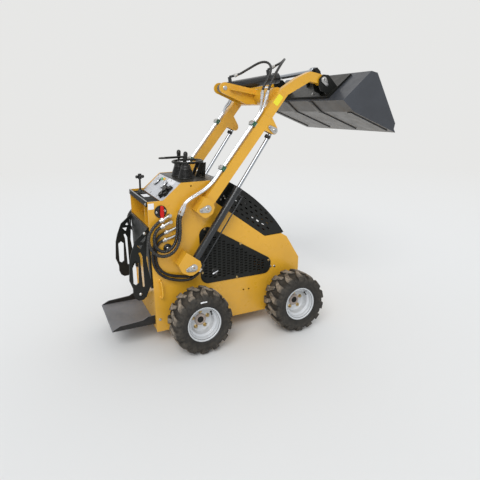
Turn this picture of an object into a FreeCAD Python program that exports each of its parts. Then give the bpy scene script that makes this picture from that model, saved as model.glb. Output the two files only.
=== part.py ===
import FreeCAD, Part
import math
import os
import re
import Sketcher
from FreeCAD import Rotation, Vector

# Wheeled stand-on mini skid steer loader with raised lift arms and a tipped bucket.
# Millimetres, X forward to the bucket, Y to the machine's left, Z up, Z = 0 on the ground.
# Outlines are stated from the rear axle; axle_rear_x moves the whole machine so that X = 0
# lies under the middle of its length.

doc = FreeCAD.newDocument("SkidSteerLoader")
sheet = doc.addObject("Spreadsheet::Sheet", "Sizes")

# Single sizes: name, value, what it is.
SIZES = [
    ("axle_rear_x", -466, "rear axle from the origin"),
    ("wheelbase", 716, "rear axle to front axle"),
    ("seat", 0.3, "gap where one piece sits on another"),
    ("tyre_radius", 205, "free radius over the lugs, and the axle height"),
    ("tread_depth", 15, "lug height over the tyre crown"),
    ("tyre_gap", 45, "side plate to tyre"),
    ("tyre_half", 98, "half of the tyre section width"),
    ("lug_half", 13, "half of a tread lug's width at the tyre centre"),
    ("lug_lead", 28, "lead of a lug from the centre to the shoulder"),
    ("rim_bead", 100, "rim barrel outer radius"),
    ("rim_well", 84, "rim well outer radius"),
    ("rim_step", 54, "bead seat's inner edge from the wheel's centre plane"),
    ("rim_wall", 5, "rim sheet"),
    ("rim_flange", 115, "rim flange radius"),
    ("rim_half", 86, "half of the rim width over the flanges"),
    ("disc_wall", 8, "wheel disc thickness"),
    ("cap_radius", 34, "hub cap radius"),
    ("cap_height", 11, "hub cap proud of the disc"),
    ("bolt_circle", 54, "wheel bolt circle radius"),
    ("bolt_radius", 9, "wheel bolt head"),
    ("bolt_height", 9, "wheel bolt head height"),
    ("hub_radius", 44, "hub behind the wheel disc"),
    ("hub_depth", 32, "hub face from the wheel's centre plane"),
    ("hub_gap", 0.4, "running gap between hub and motor"),
    ("motor_radius", 52, "wheel motor body"),
    ("body_half", 263, "outer face of the side plates"),
    ("plate_wall", 8, "side plate thickness"),
    ("sheet_wall", 5, "folded sheet thickness"),
    ("arm_gap", 23, "side plate to lift arm"),
    ("arm_width", 54, "arm box width"),
    ("bracket_gap", 7, "arm to the bracket's outer plate"),
    ("bracket_wall", 7, "pivot bracket thickness"),
    ("pin_radius", 13, "arm and cylinder pins"),
    ("pin_fit", 0.4, "running clearance round a pin"),
    ("pin_proud", 6, "pin head proud of its bracket"),
    ("arm_pivot_x", 88, "arm pivot"),
    ("arm_pivot_z", 922, "arm pivot height"),
    ("arm_end", 40, "arm end radius at its pivot"),
    ("arm_lean", 51.5, "rise of the arm's straight part, degrees"),
    ("lift_base_x", -17, "lift cylinder lower pin"),
    ("lift_base_z", 538, "lift cylinder lower pin height"),
    ("gusset_pin_x", 594, "lift rod pin in the arm gusset"),
    ("gusset_pin_z", 1415, "lift rod pin height"),
    ("gusset_end", 27, "gusset end radius"),
    ("eye_width", 30, "cylinder eye width"),
    ("eye_gap", 2, "gap beside a cylinder eye"),
    ("lift_bore", 21, "lift barrel bore radius"),
    ("lift_barrel", 27, "lift barrel outer radius"),
    ("lift_gland", 609, "lift barrel top from its pin"),
    ("lift_rod", 13, "lift rod radius"),
    ("lift_rod_from", 440, "inner end of the lift rod from the barrel pin"),
    ("lift_eye", 24, "lift eye radius"),
    ("tip_pin_x", 988, "bucket pin"),
    ("tip_pin_z", 1761, "bucket pin height"),
    ("tip_end", 37, "arm tip radius"),
    ("tube_x", 645, "cross tube centre"),
    ("tube_z", 1650, "cross tube centre height"),
    ("tube_radius", 62, "cross tube radius"),
    ("tilt_base_x", 355, "tilt cylinder rear pin"),
    ("tilt_base_z", 1716, "tilt cylinder rear pin height"),
    ("tilt_ear", 41, "tilt bracket end radius"),
    ("tilt_ear_y", 51, "tilt bracket plate centre"),
    ("tilt_ear_wall", 12, "tilt bracket plate thickness"),
    ("tilt_rib", 30, "tilt bracket rib width"),
    ("tilt_barrel", 38, "tilt barrel outer radius"),
    ("tilt_bore", 31, "tilt barrel bore radius"),
    ("tilt_gland", 472, "tilt barrel front end from its pin"),
    ("tilt_rod", 17, "tilt rod radius"),
    ("tilt_rod_from", 330, "inner end of the tilt rod from the barrel pin"),
    ("tilt_eye", 30, "tilt eye radius"),
    ("tilt_eye_width", 40, "tilt eye width"),
    ("tilt_pin_x", 1148, "tilt rod pin in the coupler"),
    ("tilt_pin_z", 1851, "tilt rod pin height"),
    ("tilt_pin", 14, "tilt pins"),
    ("bucket_half", 555, "half of the bucket width"),
    ("bucket_wall", 8, "bucket sheet"),
    ("strap_width", 42, "wear strap under the bucket"),
    ("strap_wall", 7, "wear strap thickness"),
    ("coupler_half", 372, "half of the coupler width"),
    ("coupler_gap", 6, "coupler lug to lift arm"),
    ("lug_wall", 12, "coupler lug thickness"),
    ("platform_half", 220, "half of the platform width"),
    ("platform_wall", 6, "platform sheet"),
    ("guard_y", 242, "leg guard outer face"),
    ("guard_wall", 7, "leg guard thickness"),
    ("back_strip", 37, "back plate strip beside its opening"),
    ("back_band", 600, "lower edge of the back plate between its strips"),
    ("hood_wall", 3, "hood sheet"),
    ("hood_brow_radius", 240, "hood curve next to the console"),
    ("hood_crown_radius", 1217, "long curve of the hood"),
    ("hood_slot", 24, "hood slot length"),
    ("hood_slot_high", 9, "hood slot height"),
    ("hood_pitch", 52.5, "hood slot pitch along a row"),
    ("hood_row", 26.3, "hood slot row pitch"),
    ("hood_row_first", 56, "first slot row over the hood's lower edge"),
    ("hood_slope", 36.8, "fall of the slot rows, degrees"),
    ("grille_wall", 5, "side grille thickness"),
    ("grille_round", 55, "side grille corner radius"),
    ("grille_lap", 20, "side grille lap over its window"),
    ("grille_slot", 22, "side grille slot length"),
    ("grille_slot_high", 9, "side grille slot height"),
    ("grille_first_x", 100, "first column of grille slots"),
    ("grille_first_z", 412, "lowest slot of an even column"),
    ("grille_pitch", 34, "grille column pitch"),
    ("grille_row", 19, "slot pitch in a column"),
    ("engine_x", 250, "engine block centre"),
    ("engine_length", 520, "engine block length"),
    ("engine_width", 380, "engine block width"),
    ("engine_height", 560, "engine block height"),
    ("deck_wall", 4, "lever deck plate"),
    ("boot_radius", 52, "lever bellows radius at the deck"),
    ("boot_neck", 22, "lever bellows radius at the top"),
    ("boot_height", 95, "lever bellows height"),
    ("lever_x", 38, "drive levers from the rear axle"),
    ("lever_y", 76, "drive levers from the centre plane"),
    ("lever_radius", 7, "lever stem radius"),
    ("grip_radius", 14, "lever grip radius"),
    ("grip_from", 127, "lever grip's lower end over the deck"),
    ("grip_to", 188, "lever grip's top over the deck"),
    ("ring_x", 78, "hand ring centre"),
    ("ring_radius", 106, "hand ring centreline radius"),
    ("ring_tube", 9, "hand ring section radius"),
    ("ring_height", 108, "hand ring over the deck"),
    ("post_half", 44, "half width of the ring's post"),
    ("post_wall", 9, "leg of the ring's post"),
    ("bar_from", -92, "rear end of the middle hand bar"),
    ("bar_to", 58, "front end of the middle hand bar"),
    ("bar_height", 142, "middle hand bar over the deck"),
    ("bar_radius", 8, "middle hand bar radius"),
    ("loop_radius", 20, "loop at the bar's end"),
    ("loop_tube", 5, "loop section radius"),
    ("tray_lever_x", -237, "parking lever on the rear tray"),
    ("tray_lever_y", 150, "parking lever from the centre plane"),
    ("tray_lever_height", 141, "parking lever over the tray floor"),
    ("gauge_radius", 21, "console gauge radius"),
    ("gauge_proud", 12, "console gauge over its panel"),
    ("isolator_x", -205, "battery switch"),
    ("isolator_z", 916, "battery switch height"),
    ("isolator_radius", 40, "battery switch plate"),
    ("pipe_radius", 8, "arm pipe radius"),
    ("pipe_spread", 12, "arm pipe from the arm's centre plane"),
    ("clamp_length", 30, "pipe clamp length"),
    ("clamp_height", 26, "pipe clamp height over the arm"),
    ("clamp_edge", 5, "clamp beyond a pipe's side"),
    ("clamp_low", 278, "lower pipe clamp from the arm pivot"),
    ("clamp_high", 647, "upper pipe clamp from the arm pivot"),
    ("coupling_radius", 12, "hose coupling radius"),
    ("coupling_length", 48, "hose coupling length"),
    ("post_radius", 11, "bulkhead fitting body radius"),
    ("nozzle_radius", 9, "hose nozzle radius"),
    ("route_arm_y", 313, "arm centre plane that the hose routes are stated for"),
    ("boom_hose", 11, "boom hose radius over its spiral guard"),
    ("lift_hose", 9, "lift hose radius"),
    ("tilt_hose", 9, "tilt hose radius"),
]

# Side outlines: name, corners as (corner, x from the rear axle, z).
OUTLINES = {
    "side": [
        ("rear_low", -253, 102), ("rear_high", -290, 985), ("notch", -184, 985),
        ("slope", -60, 1092), ("crown", 145, 1092), ("hood_rear", 187, 934),
        ("hood_mid", 563, 653), ("hood_front", 701, 657), ("nose_high", 744, 630),
        ("nose", 847, 459), ("nose_low", 844, 371), ("chin", 836, 290), ("front_low", 762, 102),
    ],
    "tub": [
        ("rear_low", -248, 103), ("rear_high", -278, 811), ("front_high", 701, 655),
        ("nose_high", 744, 628), ("nose", 846, 459), ("nose_low", 843, 371),
        ("chin", 835, 290), ("front_low", 761, 103),
    ],
    "hood": [
        ("rear_low", 152, 940), ("rear_high", 148, 1091), ("brow", 188, 1091), ("crown", 308, 1059),
        ("nose", 722, 664), ("front_low", 706, 657), ("mid_low", 555, 636), ("rear_mid", 190, 906),
    ],
    "grille": [
        ("rear_high", 55, 820), ("front_high", 612, 479), ("front_low", 596, 377), ("rear_low", 66, 379),
    ],
    "arm": [
        ("foot_rear", 52, 951), ("foot_front", 107, 907), ("gusset_low", 522, 1421),
        ("gusset_tip", 577, 1393), ("gusset_side", 620, 1430), ("gusset_high", 581, 1504),
        ("bend_low", 704, 1658), ("bend_two", 845, 1729), ("arch_low", 884, 1751),
        ("tip_low", 962, 1735), ("tip_high", 1002, 1794), ("arch_front", 936, 1811),
        ("arch_top", 888, 1820), ("bend_top", 787, 1780), ("bend_high", 648, 1693),
    ],
    "fork": [
        ("rear", 469, 1387), ("high", 586, 1520), ("front", 684, 1445), ("low", 614, 1305),
    ],
    "upper": [
        ("fold_low", 8, 912), ("low_rear", 54, 868), ("low", 77, 860), ("front_low", 122, 884),
        ("front", 139, 924), ("front_high", 128, 962), ("high", 98, 992), ("fold_high", 70, 1000),
    ],
    "lower": [
        ("fold_low", -122, 566), ("low_rear", -95, 513), ("low", -49, 490), ("low_front", -24, 487),
        ("front_low", 24, 512), ("front", 38, 545), ("front_high", 30, 575), ("fold_high", -64, 647),
    ],
    "ear": [
        ("end_low", 333, 1681), ("end_high", 372, 1753), ("root_high", 610, 1704), ("root_low", 620, 1594),
        ("mid_low", 520, 1600),
    ],
    "rib": [
        ("tip", 391, 1710), ("root_high", 600, 1672), ("root_low", 600, 1662), ("tip_low", 391, 1701),
    ],
    "bucket": [
        ("heel_high", 1004, 1616), ("heel_low", 1097, 1535), ("lip", 1471, 1380), ("lip_high", 1457, 1406),
        ("cheek", 1468, 1447), ("brow", 1294, 1802), ("back_high", 1240, 1814),
    ],
    "lug": [
        ("root_low", 1032, 1641), ("low", 1000, 1672), ("low_rear", 966, 1684), ("rear", 951, 1716),
        ("rear_high", 951, 1768), ("high", 985, 1799), ("front_high", 1030, 1796), ("root_high", 1112, 1708),
    ],
    "tilt_lug": [
        ("root_low", 1110, 1706), ("rear", 1100, 1780), ("rear_high", 1120, 1862), ("high", 1160, 1879),
        ("front_high", 1190, 1850), ("root_high", 1206, 1787),
    ],
    "platform": [
        ("tip_low", -539, 141), ("tip_high", -532, 150), ("rise", -488, 171), ("flat_rear", -409, 176),
        ("flat_front", -336, 181), ("shoulder", -301, 199), ("front_high", -252.8, 201), ("front_low", -250.2, 141),
    ],
    "guard": [
        ("high", -289.5, 806), ("shoulder", -372, 735), ("rear_high", -402, 655), ("rear_mid", -414, 603),
        ("rear_low", -419, 476), ("step_high", -397, 419), ("step_low", -396, 380), ("toe_rear", -384, 350),
        ("toe", -360, 333), ("heel_low", -330, 334), ("heel", -308, 352), ("heel_high", -299, 380), ("front_low", -273, 430), ("waist_low", -290, 520), ("waist", -304, 610),
        ("waist_high", -298, 700),
    ],
    "back": [
        ("low_rear", -275.2, 400), ("high_rear", -293.5, 811), ("high_front", -278.3, 811), ("low_front", -260.9, 400),
    ],
}

# Openings in a leg guard: name, corners as (corner, x from the rear axle, z).
GUARD_CUTS = {
    "slot": [("low_rear", -392, 452), ("low", -376, 440), ("low_front", -358, 452),
             ("high_front", -356, 586), ("high", -376, 603), ("high_rear", -396, 588)],
    "hook": [("low_rear", -332, 420), ("low_front", -320, 420), ("bend", -328, 628), ("high", -342, 657),
             ("high_rear", -354, 653), ("bend_rear", -345, 622)],
    "wedge": [("low", -324, 719), ("front", -309, 728), ("high", -302, 762), ("rear", -340, 726)],
    "chip": [("low", -338, 677), ("front", -326, 704), ("rear", -361, 703)],
}

# Columns of grille slots: column from the rear, first slot, number of slots. Odd columns stand half a pitch higher.
GRILLE_COLUMNS = [
    (0, 1, 17), (1, 0, 17), (2, 0, 16), (3, 0, 15), (4, 0, 14), (5, 0, 12), (6, 0, 12), (7, 0, 10), (8, 0, 10),
    (9, 0, 8), (10, 0, 7), (11, 0, 6), (12, 0, 5), (13, 0, 4),
]
# Rows of hood slots: along the row from the hood's rear corner, up from its lower edge, number of slots.
HOOD_ROWS = [("first", 46, 0, 8), ("second", 72.25, 1, 8), ("third", 46, 2, 8), ("fourth", 72.25, 3, 8), ("fifth", 46, 4, 7)]

# Tread stations: distance out as a share of the half width for the lug and for the ground, share of the lead,
# drop of the lug's top from the free radius, drop of the ground from the crown.
TREAD = [
    ("middle", -0.10, -0.10, 0.0, 0, 0), ("crown", 0.41, 0.41, 0.85, 1, 0), ("edge", 0.72, 0.72, 1.0, 4, 0),
    ("shoulder", 1.0, 0.96, 1.0, 17, 12), ("end", 1.0, 1.0, 1.0, 53, 38),
]

# Bulkhead fittings: name, body x and z on the side plate, nozzle end x and z, distance out of the plate.
FITTINGS = [
    ("high", -152, 890, -208, 863, 29), ("second", -147, 847, -203, 822, 26),
    ("third", -100, 802, -176, 777, 13), ("low", -100, 750, -188, 727, 13),
]

# Oil ports in a barrel's own frame, Z along it from its pin: name, from x, y, z, to x, y, z, radius.
LIFT_PORTS = [
    ("low", 20, 0, 43, 63, 0, 43, 9), ("bar", 63, -20, 43, 63, 20, 43, 9.5), ("right", 63, -12, 43, 63, -12, 5, 9),
    ("left", 63, 12, 43, 63, 12, 5, 9), ("line", 63, 0, 43, 63, 0, 566, 5), ("high", 20, 0, 566, 65, 0, 566, 8),
]
TILT_PORTS = [
    ("rear", -30, 0, 74, -70, 0, 74, 13), ("rear_nozzle", -70, 0, 74, -74.6, -27.5, 115.4, 9),
    ("front", -30, 0, 397, -73, 0, 397, 13), ("front_nozzle", -73, 0, 397, -88.2, -31, 433.1, 9),
]

# Steel pipes on an arm: side, row, (along the arm from its pivot, up from the pivot line, inwards) of each point.
PIPES = [
    ("right", "in", [(-73.9, 131.6, 0), (-50.1, 135.2, 0), (-12, 126, 0), (95, 76, 0), (165, 60, 0), (740, 60, 0),
                     (770, 70, 0), (822.2, 102, 0)]),
    ("right", "out", [(-73.9, 131.6, 0), (-50.7, 137.5, 0), (-12, 126, 0), (95, 76, 0), (165, 60, 0), (758, 60, 0),
                      (834, 88, 0)]),
    ("left", "in", [(-73.9, 131.6, 0), (-50.1, 135.2, 0), (-12, 126, 0), (95, 76, 0), (165, 60, 0), (738, 60, 0),
                    (775, 75, 16), (801, 82, 62), (837, 101, 96)]),
    ("left", "out", [(-73.9, 131.6, 0), (-50.7, 137.5, 0), (-12, 126, 0), (95, 76, 0), (165, 60, 0), (752, 60, 0),
                     (790, 76, 14), (818, 86, 52), (856, 106, 80)]),
]

# Points between a hose's two ends, x from the rear axle, y, z, stated for the right side.
ROUTES = {
    "boom_in": [(-104, -301, 828), (-106, -300, 782), (-111, -299, 738), (-126, -298, 696), (-154, -297, 665),
                (-190, -297, 653), (-226, -297, 664), (-253, -296, 696), (-262, -295, 738), (-257, -293, 772),
                (-243, -290.5, 798)],
    "boom_out": [(-95, -325, 828), (-94, -325, 776), (-100, -322, 722), (-120, -321, 672), (-158, -320, 639),
                 (-206, -320, 630), (-251, -320, 646), (-286, -319, 682), (-302, -315, 727), (-300, -310, 768),
                 (-284, -303, 802)],
    "lift_out": [(-230, -275, 748), (-251, -274, 716), (-263, -273, 678), (-269, -273, 638), (-268, -273, 597),
                 (-259, -274, 558), (-242, -276, 524), (-216, -279, 494), (-180, -285, 470), (-134, -295, 455),
                 (-86, -307, 447), (-38, -317, 448), (-8, -323, 461)],
    "lift_in": [(-232, -275, 704), (-243, -274, 676), (-248, -273, 640), (-248, -273, 600), (-240, -274, 564),
                (-223, -276, 532), (-196, -279, 506), (-160, -283, 487), (-118, -288, 476), (-74, -293, 468),
                (-32, -298, 462), (-4, -301, 466)],
    "tilt_rear": [(549, -301, 1737), (572, -297, 1772), (594, -288, 1808), (608, -274, 1842), (611, -254, 1868),
                  (604, -228, 1886), (590, -196, 1892), (574, -164, 1887), (556, -132, 1874), (534, -102, 1856),
                  (508, -76, 1838)],
    "tilt_front": [(578, -325, 1738), (597, -322, 1772), (621, -315, 1806), (653, -299, 1841), (692, -273, 1878),
                   (733, -237, 1905), (768, -188, 1916), (790, -135, 1912), (798, -88, 1900)],
}

row = 0


def enter(alias, amount, note):
    global row
    row += 1
    sheet.set("A%d" % row, note)
    sheet.set("B%d" % row, repr(amount))
    sheet.setAlias("B%d" % row, alias)


for alias, amount, note in SIZES:
    enter(alias, amount, note)
SHAPES = {**OUTLINES, **GUARD_CUTS}
for part_name, corners in SHAPES.items():
    for corner, cx, cz in corners:
        enter("%s_%s_x" % (part_name, corner), cx, "%s outline" % part_name)
        enter("%s_%s_z" % (part_name, corner), cz, "%s outline" % part_name)
doc.recompute()

# Shared fits, each from the same sizes.
TYRE_Y = "(body_half + tyre_gap + tyre_half)"
ARM_Y = "(body_half + arm_gap + arm_width / 2)"
BRACKET = "(arm_gap + arm_width + bracket_gap + bracket_wall)"
MOTOR = "(tyre_gap + tyre_half - hub_depth - hub_gap)"
INNER = "(body_half - plate_wall)"
DECK_Z = "(side_crown_z - 6 + seat)"
PIN_HOLE = "(pin_radius + pin_fit)"
LIFT = ("lift_base_x", "lift_base_z", "gusset_pin_x", "gusset_pin_z")
TILT = ("tilt_base_x", "tilt_base_z", "tilt_pin_x", "tilt_pin_z")
SIDES = [("left", 1), ("right", -1)]


def size(alias):
    return float(sheet.get(alias))


def bound(text):
    return re.sub(r"[a-z][a-z0-9_]*", lambda word: "Sizes." + word.group(0), str(text))


def signed(side, text):
    return text if side > 0 else "-(%s)" % text


def number(text):
    # Value of sizes and plain numbers joined by + - * / and brackets.
    marks = re.findall(r"[a-z][a-z0-9_]*|[0-9.]+|[-+*/()]", str(text))

    def factor():
        mark = marks.pop(0)
        if mark == "-":
            return -factor()
        if mark == "(":
            value = total()
            marks.pop(0)
            return value
        return size(mark) if mark[0].isalpha() else float(mark)

    def product():
        value = factor()
        while marks and marks[0] in "*/":
            value = value * factor() if marks.pop(0) == "*" else value / factor()
        return value

    def total():
        value = product()
        while marks and marks[0] in "+-":
            value = value + product() if marks.pop(0) == "+" else value - product()
        return value

    return total()


def corners_of(name):
    return [("%s_%s_x" % (name, c), "%s_%s_z" % (name, c)) for c, _, _ in SHAPES[name]]


def inset(corners, wall):
    # The same closed outline moved inwards by a wall, each corner along its mitre.
    spots = [Vector(number(tx), number(tz), 0) for tx, tz in corners]
    count = len(spots)
    area = sum(spots[i].x * spots[(i + 1) % count].y - spots[(i + 1) % count].x * spots[i].y for i in range(count))
    turn = 1.0 if area > 0 else -1.0
    moved = []
    for i, texts in enumerate(corners):
        a = (spots[i] - spots[i - 1]).normalize()
        b = (spots[(i + 1) % count] - spots[i]).normalize()
        na, nb = Vector(-a.y, a.x, 0) * turn, Vector(-b.y, b.x, 0) * turn
        mitre = (na + nb) * (1.0 / (1.0 + na.dot(nb)))
        moved.append(tuple("%s %s %s * %.4f" % (t, "+" if c >= 0 else "-", wall, abs(c))
                           for t, c in zip(texts, (mitre.x, mitre.y))))
    return moved


def body(name):
    return doc.addObject("PartDesign::Body", name)


def axis_of(owner, role):
    return [f for f in owner.Origin.OriginFeatures if f.Role == role][0]


def sketch(owner, name, role="XZ_Plane", offset=None):
    sk = owner.newObject("Sketcher::SketchObject", name)
    sk.AttachmentSupport = [(axis_of(owner, role), "")]
    sk.MapMode = "FlatFace"
    if offset is not None:
        sk.setExpression(".AttachmentOffset.Base.z", bound(offset))
    return sk


def pin_down(sk, geo, point, tx, ty):
    for kind, text in (("DistanceX", tx), ("DistanceY", ty)):
        index = sk.addConstraint(Sketcher.Constraint(kind, -1, 1, geo, point, number(text)))
        sk.setExpression("Constraints[%d]" % index, bound(text))


def polygon(sk, corners, arcs=()):
    # Closed outline; arcs gives, for a corner's number, the radius of the bulging arc that leaves it.
    spots = [Vector(number(tx), number(ty), 0) for tx, ty in corners]
    count = len(spots)
    area = sum(spots[i].x * spots[(i + 1) % count].y - spots[(i + 1) % count].x * spots[i].y for i in range(count))
    ends = []
    radii = dict(arcs)
    for i in range(count):
        a, b = spots[i], spots[(i + 1) % count]
        if i in radii:
            half = (b - a) * 0.5
            radius = number(radii[i])
            rise = radius - math.sqrt(radius ** 2 - half.Length ** 2)
            out = Vector(half.y, -half.x, 0).normalize() * (rise if area > 0 else -rise)
            ccw = area > 0
            geo = sk.addGeometry(Part.Arc(a if ccw else b, a + half + out, b if ccw else a))
            index = sk.addConstraint(Sketcher.Constraint("Radius", geo, radius))
            sk.setExpression("Constraints[%d]" % index, bound(radii[i]))
            ends.append((geo, 1, 2) if ccw else (geo, 2, 1))
        else:
            ends.append((sk.addGeometry(Part.LineSegment(a, b)), 1, 2))
    for i in range(count):
        geo, _, last = ends[i]
        other, first, _ = ends[(i + 1) % count]
        sk.addConstraint(Sketcher.Constraint("Coincident", geo, last, other, first))
    for (geo, first, _), (tx, ty) in zip(ends, corners):
        pin_down(sk, geo, first, tx, ty)


def circle(sk, tx, ty, radius):
    geo = sk.addGeometry(Part.Circle(Vector(number(tx), number(ty), 0), Vector(0, 0, 1), number(radius)))
    pin_down(sk, geo, 3, tx, ty)
    index = sk.addConstraint(Sketcher.Constraint("Radius", geo, number(radius)))
    sk.setExpression("Constraints[%d]" % index, bound(radius))


def grow(owner, kind, name, sk, length, symmetric=True, reverse=False):
    # A Pad or a Pocket of the sketch.
    feature = owner.newObject("PartDesign::" + kind, name)
    feature.Profile = sk
    feature.setExpression("Length", bound(length))
    if symmetric:
        feature.SideType = "Symmetric"
    feature.Reversed = reverse
    return feature


def cut_check(owner, feature, before):
    doc.recompute()
    if owner.Shape.Volume > before - 1.0:
        raise ValueError("%s cut nothing" % feature.Name)


def volume_of(owner):
    doc.recompute()
    return owner.Shape.Volume


def place(obj, x="0", y="0", z="0"):
    for axis, text in (("x", x), ("y", y), ("z", z)):
        obj.setExpression(".Placement.Base." + axis, bound(text))


def cylinder(name, radius, length, x="0", y="0", z="0", along="Y", centred=True):
    # A round bar along X, Y or Z; one along Y is centred on y unless told otherwise.
    bar = doc.addObject("Part::Cylinder", name)
    bar.setExpression("Radius", bound(radius))
    bar.setExpression("Height", bound(length))
    if along == "Y":
        bar.Placement = FreeCAD.Placement(Vector(0, 0, 0), Rotation(Vector(1, 0, 0), -90))
        if centred:
            y = "%s - (%s) / 2" % (y, length)
    elif along == "X":
        bar.Placement = FreeCAD.Placement(Vector(0, 0, 0), Rotation(Vector(0, 1, 0), 90))
    place(bar, x, y, z)
    return bar


def between(name, radius, start, end):
    # A round bar from one spot to another.
    bar = doc.addObject("Part::Cylinder", name)
    bar.Radius = radius
    bar.Height = (end - start).Length
    bar.Placement = FreeCAD.Placement(start, Rotation(Vector(0, 0, 1), end - start))
    return bar


def block(name, lx, ly, lz, x, y, z):
    box = doc.addObject("Part::Box", name)
    for prop, text in (("Length", lx), ("Width", ly), ("Height", lz)):
        box.setExpression(prop, bound(text))
    place(box, x, y, z)
    return box


def join(name, pieces):
    fused = doc.addObject("Part::MultiFuse", name)
    fused.Shapes = pieces
    fused.Refine = True
    return fused


def apart(name, pieces):
    # Pieces of one node that don't touch each other.
    group = doc.addObject("Part::Compound", name)
    group.Links = pieces
    return group


def cut(name, base, tool):
    result = doc.addObject("Part::Cut", name)
    result.Base = base
    result.Tool = tool
    return result


NODES = []


def node(obj, label, x="axle_rear_x", y=None, z=None, solids=1):
    obj.Label = label
    obj.setExpression(".Placement.Base.x", bound(x))
    if y is not None:
        obj.setExpression(".Placement.Base.y", bound(y))
    if z is not None:
        obj.setExpression(".Placement.Base.z", bound(z))
    NODES.append((obj, solids))
    return obj


def hinge_angle(ax, az, bx, bz):
    return "atan2(Sizes.%s - Sizes.%s; Sizes.%s - Sizes.%s)" % (bx, ax, bz, az)


def reach(ax, az, bx, bz):
    return "sqrt(pow(Sizes.%s - Sizes.%s; 2) + pow(Sizes.%s - Sizes.%s; 2))" % (bx, ax, bz, az)


def faceted(faces):
    # A closed solid from flat faces that share their corners.
    shell = Part.makeShell([Part.Face(Part.makePolygon(list(f) + [f[0]])) for f in faces])
    shell.sewShape()
    solid = Part.makeSolid(shell)
    if solid.Volume < 0:
        solid.reverse()
    return solid


LUGS = 14


def tyre_shape():
    # Two rows of slanted lugs, half a pitch apart; the ground between them reaches the same corners.
    top = size("tyre_radius")
    ground = top - size("tread_depth")
    half = size("tyre_half")
    pitch = 2 * math.pi / LUGS
    widths = [size("lug_half") / top, pitch * 0.1875, pitch / 4, pitch / 4, pitch / 4]
    start = -math.pi / 2 + widths[0]

    def spot(side, k, edge, j, on_lug):
        _, lug_out, ground_out, lead, drop, fall = TREAD[j]
        angle = start + (k + (0 if side > 0 else 0.5)) * pitch + lead * size("lug_lead") / top + edge * widths[j]
        radius = top - drop if on_lug else ground - fall
        out = side * half * (lug_out if on_lug else ground_out)
        return Vector(radius * math.cos(angle), out, radius * math.sin(angle))

    def ring(side, k, edge, out, radius):
        angle = start + (k + (0 if side > 0 else 0.5)) * pitch + size("lug_lead") / top + edge * widths[4]
        return Vector(radius * math.cos(angle), side * out, radius * math.sin(angle))

    flat = 1 / math.cos(pitch / 4)
    seat = size("rim_half") - 6 - size("seat")
    rings = [(seat, (size("rim_flange") + 1) * flat), (seat, (size("rim_bead") + 0.05) * flat)]
    faces = []
    for side in (1, -1):
        for k in range(LUGS):
            low = {(e, j): spot(side, k, e, j, False) for e in (-1, 1) for j in range(5)}
            high = {(e, j): spot(side, k, e, j, True) for e in (-1, 1) for j in range(4)}
            following = [spot(side, k + 1, -1, j, False) for j in range(5)]
            for j in (0, 1):
                faces += [(high[-1, j], high[1, j], high[1, j + 1]), (high[-1, j], high[1, j + 1], high[-1, j + 1])]
                for e in (-1, 1):
                    faces += [(low[e, j], high[e, j], high[e, j + 1]), (low[e, j], high[e, j + 1], low[e, j + 1])]
            faces.append((high[-1, 2], high[1, 2], high[1, 3], high[-1, 3]))
            faces.append((high[-1, 3], high[1, 3], low[1, 4], low[-1, 4]))
            faces.append((low[-1, 0], low[1, 0], high[1, 0], high[-1, 0]))
            for e in (-1, 1):
                faces.append((low[e, 2], high[e, 2], high[e, 3], low[e, 4], low[e, 3]))
            other = k if side > 0 else k + 1
            b, c = spot(-side, other, -1, 0, False), spot(-side, other, 1, 0, False)
            faces += [(low[1, 0], b, low[1, 1]), (b, c, low[1, 1]), (c, following[1], low[1, 1]),
                      (c, following[0], following[1]), (low[1, 1], following[1], following[2]),
                      (low[1, 1], following[2], low[1, 2])]
            for j in (2, 3):
                faces.append((low[1, j], following[j], following[j + 1], low[1, j + 1]))
            for e, step in ((-1, 1), (1, 0)):
                first = [low[e, 4]] + [ring(side, k, e, out, radius) for out, radius in rings]
                if step:
                    second = [low[1, 4]] + [ring(side, k, 1, out, radius) for out, radius in rings]
                else:
                    second = [following[4]] + [ring(side, k + 1, -1, out, radius) for out, radius in rings]
                for n in (0, 1):
                    faces.append((first[n], second[n], second[n + 1], first[n + 1]))
                if side > 0:
                    faces.append(tuple(Vector(p.x, s * p.y, p.z) for s, p in
                                       ((1, first[2]), (1, second[2]), (-1, second[2]), (-1, first[2]))))
    return faceted(faces)


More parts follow.
